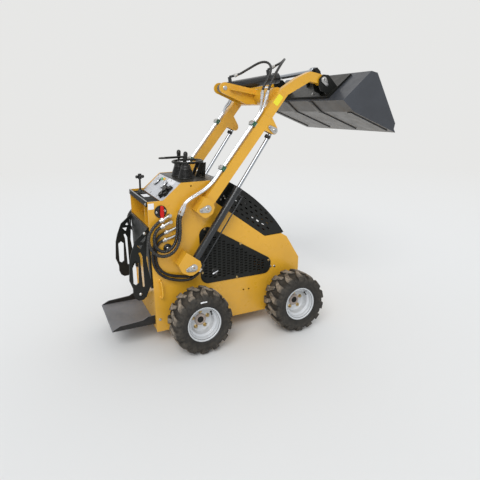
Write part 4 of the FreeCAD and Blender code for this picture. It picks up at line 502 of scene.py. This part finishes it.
def tyre(bm, axle, side):
    profile = CARCASS + [(r, -y) for r, y in CARCASS[-2::-1]]
    turned(bm, profile, axle, (0, 1, 0), 112, closed=True)
    start = -math.pi / 2 + 13 / 205
    for half in (1, -1):
        for k in range(14):
            angle = start + (k + (0 if half > 0 else 0.5)) * PITCH_ANGLE
            rings = []
            for out, lead, wide, top, base_out, base in LUG:
                middle = angle + lead * 28 / 205
                ring = []
                for edge, r, y, extra in ((-1, base, base_out, 0.014), (-1, top, out, 0.0), (1, top, out, 0.0), (1, base, base_out, 0.014)):
                    a = middle + edge * (wide + extra)
                    ring.append(bm.verts.new(axle + Vector((r * math.cos(a), half * y, r * math.sin(a))) / 1000))
                rings.append(ring)
            for low, high in zip(rings, rings[1:]):
                for n in range(4):
                    bm.faces.new((low[n], low[(n + 1) % 4], high[(n + 1) % 4], high[n]))
            bm.faces.new(rings[0][::-1])
            bm.faces.new(rings[-1])
            # A low buttress between two lugs, on the shoulder.
            between = angle + 28 / 205 + PITCH_ANGLE / 2
            outline = [(between + e * w, r, y) for e, w, r, y in ((-1, 0.045, 186, 78), (1, 0.045, 186, 78), (1, 0.06, 176, 91.5), (1, 0.05, 160, 97.2),
                                                                  (-1, 0.05, 160, 97.2), (-1, 0.06, 176, 91.5))]
            inner = [bm.verts.new(axle + Vector((r * 0.97 * math.cos(a), half * (y - 8), r * 0.97 * math.sin(a))) / 1000) for a, r, y in outline]
            outer = [bm.verts.new(axle + Vector((r * math.cos(a), half * y, r * math.sin(a))) / 1000) for a, r, y in outline]
            bm.faces.new((outer[0], outer[1], outer[2], outer[5]))
            bm.faces.new((outer[5], outer[2], outer[3], outer[4]))
            bm.faces.new(inner)
            for n in range(6):
                bm.faces.new((inner[n], inner[(n + 1) % 6], outer[(n + 1) % 6], outer[n]))


for spot, x in (("rear", 0.0), ("front", 716.0)):
    for word, side in SIDES:
        body = "wheel_%s_%s" % (spot, word)
        axle = at(x, side * 406, 205)
        out = Vector((0, side, 0))
        bm = bmesh.new()
        tyre(bm, axle, side)
        piece = add("tyre_look_%s_%s" % (spot, word), bm, TYRES[spot], body, bevel=2.2)
        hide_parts("tyre_%s_%s" % (spot, word))
        bm = bmesh.new()
        barrel = [(r, -y) for r, y in RIM[:5:-1]]
        turned(bm, RIM + barrel + RIM_BACK, axle, out, 96)
        piece = add("rim_look_%s_%s" % (spot, word), bm, SILVER, body, smooth=40)
        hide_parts("rim_%s_%s" % (spot, word))
        bm = bmesh.new()
        turned(bm, [(39.5, -0.5), (39.5, 2), (37.5, 5.5), (33, 8), (26, 9.4), (22.6, 9.4), (21.4, 8.4), (21, 1)], axle, out, 56)
        piece = add("hub_ring_%s_%s" % (spot, word), bm, RUST, body)
        bm = bmesh.new()
        turned(bm, [(21.3, 1), (21.3, 7.4), (19.8, 9.6), (16, 10.6), (12.5, 10.6), (11.5, 7), (6, 7), (5.2, 10), (0, 10.4)], axle, out, 40)
        add("hub_cap_%s_%s" % (spot, word), bm, BLACK, body)
        bm = bmesh.new()
        for k in range(5):
            a = math.radians(90 - 72 * k)
            nut = axle + Vector((54 * math.cos(a), 0, 54 * math.sin(a))) / 1000
            turned(bm, [(13.5, -0.5), (13.5, 1.2), (11, 3.4), (0, 3.4)], nut, out, 28)
            turned(bm, [(9.8, 2), (9.8, 9.4), (8.2, 11), (5.4, 11), (5, 14.5), (0, 15)], nut, out, 6, start=0.3 * k)
        add("wheel_nuts_%s_%s" % (spot, word), bm, GOLD, body)
        bm = bmesh.new()
        a = math.radians(48)
        stem = axle + Vector((85 * math.cos(a), side * 50, 85 * math.sin(a))) / 1000
        lean = Vector((-0.25 * math.cos(a), side, -0.25 * math.sin(a))).normalized()
        turned(bm, [(7, -4), (7, 3), (4.4, 7), (3.9, 22), (4.6, 23), (4.6, 31), (3.6, 33), (0, 33)], stem, lean, 20)
        add("valve_%s_%s" % (spot, word), bm, RUBBER, body)
# Blank label on the wall of the near rear tyre.
bm = bmesh.new()
rows = [[bm.verts.new(at(r * math.cos(a), -(406 + y), 205 + r * math.sin(a)))
         for a in (math.radians(101 - 16 * k / 8) for k in range(9))] for r, y in ((150.5, 97.4), (156, 98.2), (160, 97.2))]
for low_row, high_row in zip(rows, rows[1:]):
    for k in range(8):
        bm.faces.new((low_row[k], low_row[k + 1], high_row[k + 1], high_row[k]))
add("tyre_label", bm, WHITE, "wheel_rear_right")

# ---------------------------------------------------------------- hose ends
SLEEVE = [(0, 0), (1.25, 0), (1.25, 4), (1.16, 4.6), (1.16, 6), (1.24, 6.6), (1.24, 13), (1.1, 15), (0.98, 15), (0, 14)]


def ferrule(bm, path, radius):
    """A crimped sleeve and hexagon over the first part of a hose."""
    axis = (path[4] - path[0]).normalized()
    turned(bm, [(radius * a, b) for a, b in SLEEVE], path[0] - axis * 0.001, axis, 28)
    turned(bm, [(0, -13), (radius * 1.4, -13), (radius * 1.5, -12), (radius * 1.5, -1), (radius * 1.4, 0), (0, 0)], path[0], axis, 6)


for name, route_name, side, radius, core, first_body, last_body in HOSES:
    path = even_path([at(x, -side * y, z) for x, y, z in ROUTES[route_name]], 0.006)
    for word, line, body in (("start", path, first_body), ("end", path[::-1], last_body)):
        bm = bmesh.new()
        ferrule(bm, line, radius)
        add("ferrule_%s_%s" % (name, word), bm, STEEL, body, smooth=30)

# ---------------------------------------------------------------- pins with their keepers
def teardrop(bm, centre, tail, out, big, small, thick, index=0):
    """A keeper plate round a pin and its bolt, lying on a face that looks along out."""
    along = (tail - centre)
    across = out.cross(along).normalized()
    unit = along.normalized()
    gap = along.length * 1000
    lean = math.acos((big - small) / gap)
    ring = [centre + (unit * math.cos(a) + across * math.sin(a)) * big / 1000 for a in
            (lean + (2 * math.pi - 2 * lean) * k / 22 for k in range(23))]
    ring += [tail + (unit * math.cos(a) + across * math.sin(a)) * small / 1000 for a in
             (-lean + 2 * lean * k / 12 for k in range(13))]
    prism(bm, ring, out * 0.0, out * thick / 1000, index)


def keeper(name, body, x, z, tail_x, tail_z, face, side, big=25, small=14):
    out = Vector((0, side, 0))
    centre, tail = at(x, side * face, z), at(tail_x, side * face, tail_z)
    bm = bmesh.new()
    teardrop(bm, centre, tail, out, big, small, 5)
    turned(bm, [(big * 0.74, 4), (big * 0.74, 7.5), (big * 0.64, 9.5), (7, 9.5), (6, 8.5), (6, 3), (0, 3)], centre, out, 40)
    add("keeper_" + name, bm, STEEL, body, bevel=0.9)
    bm = bmesh.new()
    bolt(bm, tail + out * 0.005, out, 6.5, 6.5)
    turned(bm, [(5.8, 3.4), (0, 3.4)], centre, out, 20)
    turned(bm, [(3.2, 3), (3.2, 8.4), (2, 9.4), (0, 9.4)], centre, out, 16)
    add("keeper_bolt_" + name, bm, WORN_STEEL_AND_HIGHLIGHT, body)


for word, side in SIDES:
    keeper("arm_" + word, "chassis", 88, 922, 44, 914, 354, side)
    keeper("lift_base_" + word, "chassis", -17, 538, -58, 530, 354, side)
    keeper("lift_top_" + word, "arms", 594, 1415, 557, 1440, 345, side, 22, 12)
    keeper("tip_" + word, "bucket_body", 988, 1761, 1012, 1728, 358, side, 23, 12)

# ---------------------------------------------------------------- arms: clamps, decal, welds
ALONG, UP = Vector((0.6225, 0, 0.7826)), Vector((-0.7826, 0, 0.6225))


def arm_spot(s, up, y):
    """A place on an arm: along from the pivot, up from the pivot's line towards the rear face, and y."""
    return at(88, y, 922) + (ALONG * s + UP * up) / 1000


ARM_TURN = Matrix((ALONG, Vector((0, 1, 0)), UP)).transposed()
for word, side in SIDES:
    bm = bmesh.new()
    cover = bmesh.new()
    for s in (278, 647):
        mid = arm_spot(s, 59.4, side * 313)
        for n, (low_up, high_up) in enumerate(((46.4, 58.8), (59.4, 73))):
            brick(bm, arm_spot(s, (low_up + high_up) / 2, side * 313), (33, 53, high_up - low_up), ARM_TURN)
        brick(cover, arm_spot(s, 74.8, side * 313), (31, 51, 3.2), ARM_TURN)
        for y in (-19, 19):
            bolt(cover, arm_spot(s, 76.4, side * 313 + y), UP, 6.0, 6.5)
    add("clamps_" + word, bm, GREEN, "arms", bevel=1.6)
    add("clamp_covers_" + word, cover, STEEL, "arms", bevel=0.5)

    out = Vector((0, side, 0))
    bm = bmesh.new()
    outline = [arm_spot(s, u, side * 340.2) for s, u in ((845, 32), (845, 0), (851, -5), (917, -5), (923, 1), (923, 30), (917, 36), (850, 37))]
    prism(bm, outline, out * 0.0, out * 0.0006)
    add("decal_" + word, bm, DECAL, "arms")
    # Weld beads where the gusset and the gooseneck meet the arm.
    bm = bmesh.new()
    for x0, z0, x1, z1 in ((655, 1687, 698, 1655), (806, 1764, 844, 1736), (520, 1535, 586, 1484)):
        a, b = at(x0, side * 340.2, z0), at(x1, side * 340.2, z1)
        count = max(3, int((b - a).length * 1000 / 7))
        for k in range(count):
            made = bmesh.ops.create_uvsphere(bm, u_segments=10, v_segments=6, radius=1.0)["verts"]
            spot = a.lerp(b, (k + 0.5) / count)
            for v in made:
                v.co = spot + Vector((v.co.x * 0.0036, v.co.y * 0.0012, v.co.z * 0.0036))
    add("arm_weld_" + word, bm, YELLOW, "arms")

# ---------------------------------------------------------------- side plates
GRILLE_BOLTS = [(97.8, 761.4), (364.6, 625.8), (590.9, 471.8), (334.8, 386.2), (74.9, 458.4)]
for word, side in SIDES:
    out = Vector((0, side, 0))
    bm = bmesh.new()
    for x, z in GRILLE_BOLTS:
        bolt(bm, at(x, side * 268, z), out, 6.0, 6.0)
    add("grille_bolts_" + word, bm, GOLD, "chassis")
    bm = bmesh.new()
    for x, z in ((607, 420.8), (639.8, 417.9), (-229.4, 184.5)):
        bolt(bm, at(x, side * 263, z), out, 6.5, 6.5)
    for x, z in ((248.6, 974.9), (225.8, 952.7), (255.8, 956.8)):
        bolt(bm, at(x, side * 255, z), out, 4.5, 5.0)
    add("side_bolts_" + word, bm, STEEL, "chassis")

    # Quarter-turn latch of the grille: a round base with a blade across it.
    bm = bmesh.new()
    centre = at(166, side * 268, 451)
    turned(bm, [(0, 0), (27, 0), (27, 3), (24, 5.5), (19, 6), (17, 4), (0, 4)], centre, out, 44)
    add("latch_" + word, bm, GLOSS, "chassis")
    bm = bmesh.new()
    lean = Matrix.Rotation(math.radians(-24), 3, "Y")
    brick(bm, centre + out * 0.0085, (48, 8, 8.5), lean)
    add("latch_blade_" + word, bm, CHROME, "chassis", bevel=2.5, segments=3)

    # Rubber grommet with its bolt.
    bm = bmesh.new()
    turned(bm, [(0, 0), (29, 0), (29, 4), (26, 8), (20, 11), (15, 11), (13, 8), (0, 8)], at(-165, side * 263, 668), out, 44)
    add("grommet_" + word, bm, RUBBER, "chassis")
    bm = bmesh.new()
    turned(bm, [(0, 7), (11, 7), (11, 9), (9.5, 12.5), (6, 15), (0, 16)], at(-165, side * 263, 668), out, 28)
    add("grommet_bolt_" + word, bm, STEEL, "chassis")

    # Grab handle: a bent bar with two feet.
    bm = bmesh.new()
    route = [at(-224, side * 263, 452), at(-224, side * 285, 452), at(-221, side * 292, 445), at(-214, side * 293, 395),
             at(-212, side * 292, 350), at(-216, side * 285, 338), at(-217, side * 263, 338)]
    tube_along(bm, even_path(route, 0.004), lambda g: 6.0, 16)
    for x, z in ((-224, 452), (-217, 338)):
        turned(bm, [(0, 0), (11, 0), (11, 2.4), (8, 4.5), (0, 4.5)], at(x, side * 263, z), out, 24)
    add("grab_handle_" + word, bm, YELLOW, "chassis")

    # Small blank sticker near the rear edge.
    bm = bmesh.new()
    prism(bm, [at(x, side * 263.1, z) for x, z in ((-286, 974), (-286, 935), (-248, 935), (-248, 974))], out * 0.0, out * 0.0005)
    add("side_sticker_" + word, bm, WHITE, "chassis")

# Battery switch: screws and the red key.
out = Vector((0, -1, 0))
bm = bmesh.new()
turned(bm, [(0, 0), (41, 0), (41, 4.5), (38.5, 7.4), (26, 8), (24, 10), (0, 10)], at(-205, -263, 916), out, 56)
add("switch_base", bm, GLOSS, "chassis")
bm = bmesh.new()
profile = [(-7, 40), (7, 40), (11, 30), (12, 6), (13, -14), (9, -38), (7, -60), (-5, -62), (-9, -38), (-13, -14), (-12, 6), (-11, 30)]
prism(bm, [at(-200 + x, -263, 916 + z) for x, z in profile], out * 0.008, out * 0.029)
add("switch_key", bm, RED, "chassis", bevel=4.0, segments=3)
bm = bmesh.new()
for x in (-232, -178):
    bolt(bm, at(x, -270, 916 + (4 if x > -200 else -2)), out, 5.5, 5.0)
add("switch_screws", bm, STEEL, "chassis")

# ---------------------------------------------------------------- lever deck
DECK_TOP = 1086.3
BOOT = [(55, 0), (57, 2), (57, 5), (54.5, 8)]
for k in range(7):
    base = 53.5 - k * 2.6
    BOOT += [(base - 1.2, 10 + k * 8.2), (base + 1.6, 13 + k * 8.2), (base + 1.4, 15 + k * 8.2), (base - 1.6, 17.4 + k * 8.2)]
BOOT += [(35.5, 70), (34.5, 84), (31, 91), (24, 95.5), (14, 98), (8, 99), (0, 99)]
GRIP = [(8, 0), (10.5, 2), (11.5, 8), (11, 16), (13, 26), (15.2, 38), (15.6, 48), (13.5, 57), (8.5, 62), (0, 64)]
for word, side in SIDES:
    bm = bmesh.new()
    turned(bm, BOOT, at(38, side * 76, DECK_TOP + 4), (0, 0, 1), 56)
    add("lever_boot_" + word, bm, RUBBER, "chassis", smooth=60)
    bm = bmesh.new()
    turned(bm, [(0, 0)] + GRIP, at(38, side * 76, DECK_TOP + 126), (0, 0, 1), 36)
    add("lever_grip_" + word, bm, RUBBER, "chassis", smooth=50)
    bm = bmesh.new()
    turned(bm, [(0, 0), (19, 0), (19, 2), (14, 4), (9, 9), (0, 9)], at(38, side * 76, DECK_TOP + 102), (0, 0, 1), 32)
    add("lever_collar_" + word, bm, WORN_STEEL_AND_HIGHLIGHT, "chassis")

# Console: bezels and dials, lamps, blank labels and the connectors.
SLOPE = math.atan2(113, 126)
SLOPE_OUT = Vector((-math.sin(SLOPE), 0, math.cos(SLOPE)))
SLOPE_UP = Vector((math.cos(SLOPE), 0, math.sin(SLOPE)))
SLOPE_TURN = Matrix((SLOPE_UP, Vector((0, 1, 0)), SLOPE_OUT)).transposed()


def on_slope(x, y, proud=0.0):
    """A place on the console's slope, by its x and y."""
    return at(x, y, 973 + (x + 188) * 113 / 126) + SLOPE_OUT * proud / 1000


for word, x, y in (("near", -107, -30), ("far", -108, 138)):
    bm = bmesh.new()
    centre = on_slope(x, y)
    turned(bm, [(0, 0), (31, 0), (31, 11), (29, 11.6), (0, 11.6)], centre, SLOPE_OUT, 56)
    add("gauge_cup_" + word, bm, GLOSS, "chassis")
    bm = bmesh.new()
    turned(bm, [(31.2, 9.6), (33.6, 10.4), (33.8, 13), (32.4, 15.2), (29.6, 15.6), (28.2, 14.4), (27.6, 11.2)], centre, SLOPE_OUT, 56, closed=True)
    add("gauge_bezel_" + word, bm, CHROME, "chassis")
    bm = bmesh.new()
    turned(bm, [(28, 12), (0, 12)], centre, SLOPE_OUT, 48)
    add("gauge_dial_" + word, bm, WHITE, "chassis")
    bm = bmesh.new()
    for k in range(11):
        a = math.radians(-130 + 26 * k)
        ray = SLOPE_UP * math.cos(a) + Vector((0, -1, 0)) * math.sin(a)
        tick = Matrix((ray, SLOPE_OUT.cross(ray), SLOPE_OUT)).transposed()
        brick(bm, centre + ray * 0.0215 + SLOPE_OUT * 0.0124, (6 if k % 5 else 8, 1.2, 0.5), tick)
    ray = (SLOPE_UP + Vector((0, 0.9, 0))).normalized()
    brick(bm, centre + ray * 0.008 + SLOPE_OUT * 0.0129, (22, 1.8, 0.7), Matrix((ray, SLOPE_OUT.cross(ray), SLOPE_OUT)).transposed())
    turned(bm, [(3.4, 12), (3.4, 13.8), (0, 14.2)], centre, SLOPE_OUT, 20)
    add("gauge_marks_" + word, bm, BLACK, "chassis")

LAMPS = {"green": paint("lamp_green", (0.03, 0.36, 0.12), 0.2, coat=0.5, cloud=0.05, dust=0.02, low_dust=0.0),
         "amber": paint("lamp_amber", (0.75, 0.42, 0.03), 0.2, coat=0.5, cloud=0.05, dust=0.02, low_dust=0.0)}
for word, x, y in (("green", -82, 92), ("amber", -78, 55)):
    bm = bmesh.new()
    turned(bm, [(0, 0), (12, 0), (12, 3), (10, 5), (9.4, 9), (7, 12), (3, 13.6), (0, 14)], on_slope(x, y), SLOPE_OUT, 28)
    add("lamp_" + word, bm, LAMPS[word], "chassis")
bm = bmesh.new()
prism(bm, [on_slope(x, y, 0.2) for x, y in ((-90, -5), (-62, -5), (-62, -160), (-90, -160))], SLOPE_OUT * 0.0, SLOPE_OUT * 0.0006)
add("console_label", bm, WHITE, "chassis")
bm = bmesh.new()
for x, y, r, h in ((-158, -160, 22, 26), (-132, -178, 20, 34), (-120, -128, 17, 30), (-143, -206, 15, 24), (-110, -196, 16, 22)):
    turned(bm, [(0, 0), (r + 3, 0), (r + 3, 4), (r, 6), (r, h - 8), (r + 1.6, h - 6), (r + 1.6, h - 3), (r - 1, h), (r * 0.55, h), (r * 0.5, h - 3), (0, h - 3)],
           on_slope(x, y), SLOPE_OUT, 32)
    for k in range(8):
        a = 2 * math.pi * k / 8
        ray = SLOPE_UP * math.cos(a) + Vector((0, 1, 0)) * math.sin(a)
        brick(bm, on_slope(x, y) + ray * r / 1000 + SLOPE_OUT * (h * 0.5) / 1000, (3, 4, h * 0.55), Matrix((ray, SLOPE_OUT.cross(ray), SLOPE_OUT)).transposed())
brick(bm, on_slope(-134, -168, 5), (70, 90, 10), SLOPE_TURN)
add("console_switches", bm, GLOSS, "chassis", bevel=0.8)
bm = bmesh.new()
for y in (-240, 240, 80, -80):
    bolt(bm, on_slope(-176, y), SLOPE_OUT, 4.5, 4.0)
    bolt(bm, on_slope(-70, y), SLOPE_OUT, 4.5, 4.0)
add("console_screws", bm, STEEL, "chassis")

# Rear tray: painted highlight on the lip (a bare-steel strip standing in for the light on its edge), bolts, blank
# sticker, cross knob with its collar.
bm = bmesh.new()
# This bare-steel strip along the lip is a painted highlight for the light on the tray's edge.
brick(bm, at(-291.5, 0, 987.3), (8.6, 508, 1.6))
add("tray_lip_painted_highlight", bm, WORN_STEEL_AND_HIGHLIGHT, "chassis", bevel=0.5)
bm = bmesh.new()
for y in (236, -236):
    bolt(bm, at(-295, y, 968), Vector((-1, 0, 0)), 7, 6)
add("tray_bolts", bm, STEEL, "chassis")
bm = bmesh.new()
prism(bm, [at(x, y, 970.2) for x, y in ((-250, 90), (-250, -10), (-205, -10), (-205, 90))], Vector((0, 0, 0)), Vector((0, 0, 0.0006)))
add("tray_sticker", bm, WHITE, "chassis")
bm = bmesh.new()
turned(bm, [(0, 0), (30, 0), (30, 3), (24, 6), (15, 20), (11, 28), (0, 28)], at(-237, 150, 970), (0, 0, 1), 40)
for k in range(4):
    brick(bm, at(-237, 150, 983), (52 - k * 9, 4, 5), Matrix.Rotation(math.pi * k / 4, 3, "Z"))
add("tray_collar", bm, RUBBER, "chassis", bevel=1.0)
bm = bmesh.new()
turned(bm, [(0, -19), (12, -19), (14, -15), (13, -6), (13, 6), (14, 12), (12, 17), (0, 19)], at(-237, 150, 1092), (0, 0, 1), 32)
for ray in (Vector((1, 0, 0)), Vector((-1, 0, 0)), Vector((0, 1, 0)), Vector((0, -1, 0))):
    turned(bm, [(9, 4), (9, 14), (11.5, 20), (11, 27), (7, 31), (0, 32)], at(-237, 150, 1090), ray, 24)
add("tray_knob", bm, RUBBER, "chassis", smooth=50)

# Tapering plates under the hand ring's front side.
bm = bmesh.new()
for y in (-36, 36):
    outline = [at(x, y - 2, z) for x, z in ((172, DECK_TOP - 1), (196, DECK_TOP - 1), (206, DECK_TOP + 101), (162, DECK_TOP + 101))]
    prism(bm, outline, Vector((0, 0, 0)), Vector((0, 0.004, 0)))
add("ring_plates", bm, BLACK, "chassis", bevel=0.6)

# Painted highlight on the back plate's top edge: a thin bare-steel strip standing in for the light there.
bm = bmesh.new()
brick(bm, at(-287, 0, 811.6), (5, 470, 1.4))
add("back_plate_painted_highlight", bm, WORN_STEEL_AND_HIGHLIGHT, "chassis", bevel=0.4)

# Guard bolts.
for word, side in SIDES:
    bm = bmesh.new()
    for x, z in ((-349, 376), (-310, 778)):
        turned(bm, [(0, 0), (11, 0), (11, 3), (9, 6), (5, 8), (0, 9)], at(x, side * 242, z), Vector((0, side, 0)), 28)
    add("guard_bolts_" + word, bm, STEEL, "chassis")

# ---------------------------------------------------------------- bucket and its linkage
bm = bmesh.new()
HEEL_OUT = Vector((-0.657, 0, -0.754))
for y in (-166.5, 166.5):
    strip = [at(x, y - 21, z) + HEEL_OUT * 0.0004 for x, z in ((1006, 1613.5), (1097, 1534.5))]
    strip += [p + Vector((0, 0.042, 0)) for p in strip[::-1]]
    prism(bm, strip, HEEL_OUT * 0.0, HEEL_OUT * 0.007)
add("bucket_heel_straps", bm, BUCKET, "bucket_body", bevel=1.0)

# Heads of the tilt cylinder's rear pin on the bracket's outer faces.
bm = bmesh.new()
for side in (1, -1):
    turned(bm, [(0, 0), (16, 0), (16, 4), (13, 6.5), (0, 7)], at(355, side * 57, 1716), Vector((0, side, 0)), 32)
    turned(bm, [(0, 6), (5, 6), (5, 9), (0, 9.4)], at(355, side * 57, 1716), Vector((0, side, 0)), 6)
add("tilt_pin_heads", bm, STEEL, "arms")

# Tilt rod without its eye. The eye rides with the bucket, so it stays round its pin at every pose.
base, pin = at(355, 0, 1716), at(1148, 0, 1851)
along = (pin - base).normalized()
bm = bmesh.new()
turned(bm, [(0, 0), (29, 0), (30.4, 1.5), (30.4, 22.5), (29, 24), (17, 24), (17, 450), (0, 450)], base + along * 0.330, along, 48)
rod = add("tilt_rod_look", bm, ROD, "tilt_rod_body")
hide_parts("tilt_rod")
bm = bmesh.new()
turned(bm, [(14, -19), (15, -20), (28.5, -20), (30, -18.5), (30, 18.5), (28.5, 20), (15, 20), (14, 19)], pin, (0, 1, 0), 56, closed=True)
add("tilt_rod_eye", bm, ROD, "bucket_body")

# Nuts of the coupler's lock on its rear plate.
bm = bmesh.new()
for side in (1, -1):
    turned(bm, [(0, 0), (11, 0), (11, 6), (6, 8), (6, 14), (0, 14)], at(1010, side * 200, 1670), HEEL_OUT, 6)
add("coupler_nuts", bm, STEEL, "bucket_body")

# Dark clamp collars where the lift rods leave their eyes.
for word, side in SIDES:
    low, high = at(-17, side * 313, 538), at(578, side * 313, 1404)
    along = (low - high).normalized()
    bm = bmesh.new()
    turned(bm, [(14, 27), (20, 27), (21, 29), (21, 46), (19, 49), (14, 49)], high, along, 32, closed=True)
    add("rod_collar_" + word, bm, IRON, "lift_rod_body_" + word)

# ---------------------------------------------------------------- floor, light
bm = bmesh.new()
bmesh.ops.create_grid(bm, x_segments=2, y_segments=2, size=60)
floor = add("floor", bm, WHITE)
floor_mat, tree, shader = nodes_of("floor_plain")
shader.inputs["Base Color"].default_value = (0.74, 0.74, 0.73, 1.0)
shader.inputs["Roughness"].default_value = 0.85
# Far from the machine the floor turns into the backdrop's own colour, so no horizon shows.
BACKDROP = (0.80, 0.80, 0.79, 1.0)
coord = tree.nodes.new("ShaderNodeTexCoord")
reach = tree.nodes.new("ShaderNodeVectorMath")
reach.operation = "LENGTH"
link(tree, coord.outputs["Object"], reach.inputs[0])
glow = tree.nodes.new("ShaderNodeEmission")
glow.inputs["Color"].default_value = BACKDROP
fade = tree.nodes.new("ShaderNodeMixShader")
link(tree, ramp(tree, reach.outputs["Value"], 2.5, 9.0), fade.inputs["Fac"])
link(tree, shader.outputs[0], fade.inputs[1])
link(tree, glow.outputs[0], fade.inputs[2])
link(tree, fade.outputs[0], tree.nodes["Material Output"].inputs["Surface"])
floor.data.materials.clear()
floor.data.materials.append(floor_mat)
floor.location.z = -0.0006
floor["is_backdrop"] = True

world = bpy.data.worlds.new("studio")
bpy.context.scene.world = world
world.use_nodes = True
tree = world.node_tree
back = tree.nodes["Background"]
back.inputs["Color"].default_value = (0.93, 0.96, 1.0, 1.0)
back.inputs["Strength"].default_value = 0.66
seen = tree.nodes.new("ShaderNodeBackground")
seen.inputs["Color"].default_value = BACKDROP
rays = tree.nodes.new("ShaderNodeLightPath")
either = maths(tree, "MAXIMUM", rays.outputs["Is Camera Ray"], rays.outputs["Is Glossy Ray"])
either = maths(tree, "MAXIMUM", either, rays.outputs["Is Transmission Ray"])
blend = tree.nodes.new("ShaderNodeMixShader")
link(tree, either, blend.inputs["Fac"])
link(tree, back.outputs[0], blend.inputs[1])
link(tree, seen.outputs[0], blend.inputs[2])
link(tree, blend.outputs[0], tree.nodes["World Output"].inputs["Surface"])

for name, place, power, spread in (("key", (-3.0, -4.2, 4.6), 1.75, 34), ("rim", (4.0, 2.0, 4.0), 0.5, 60)):
    data = bpy.data.lights.new(name, "SUN")
    data.energy, data.angle = power, math.radians(spread)
    lamp = bpy.data.objects.new(name, data)
    lamp.rotation_euler = (-Vector(place)).to_track_quat("-Z", "Y").to_euler()
    bpy.context.scene.collection.objects.link(lamp)

bpy.context.scene.view_settings.view_transform = "Standard"
low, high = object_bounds()
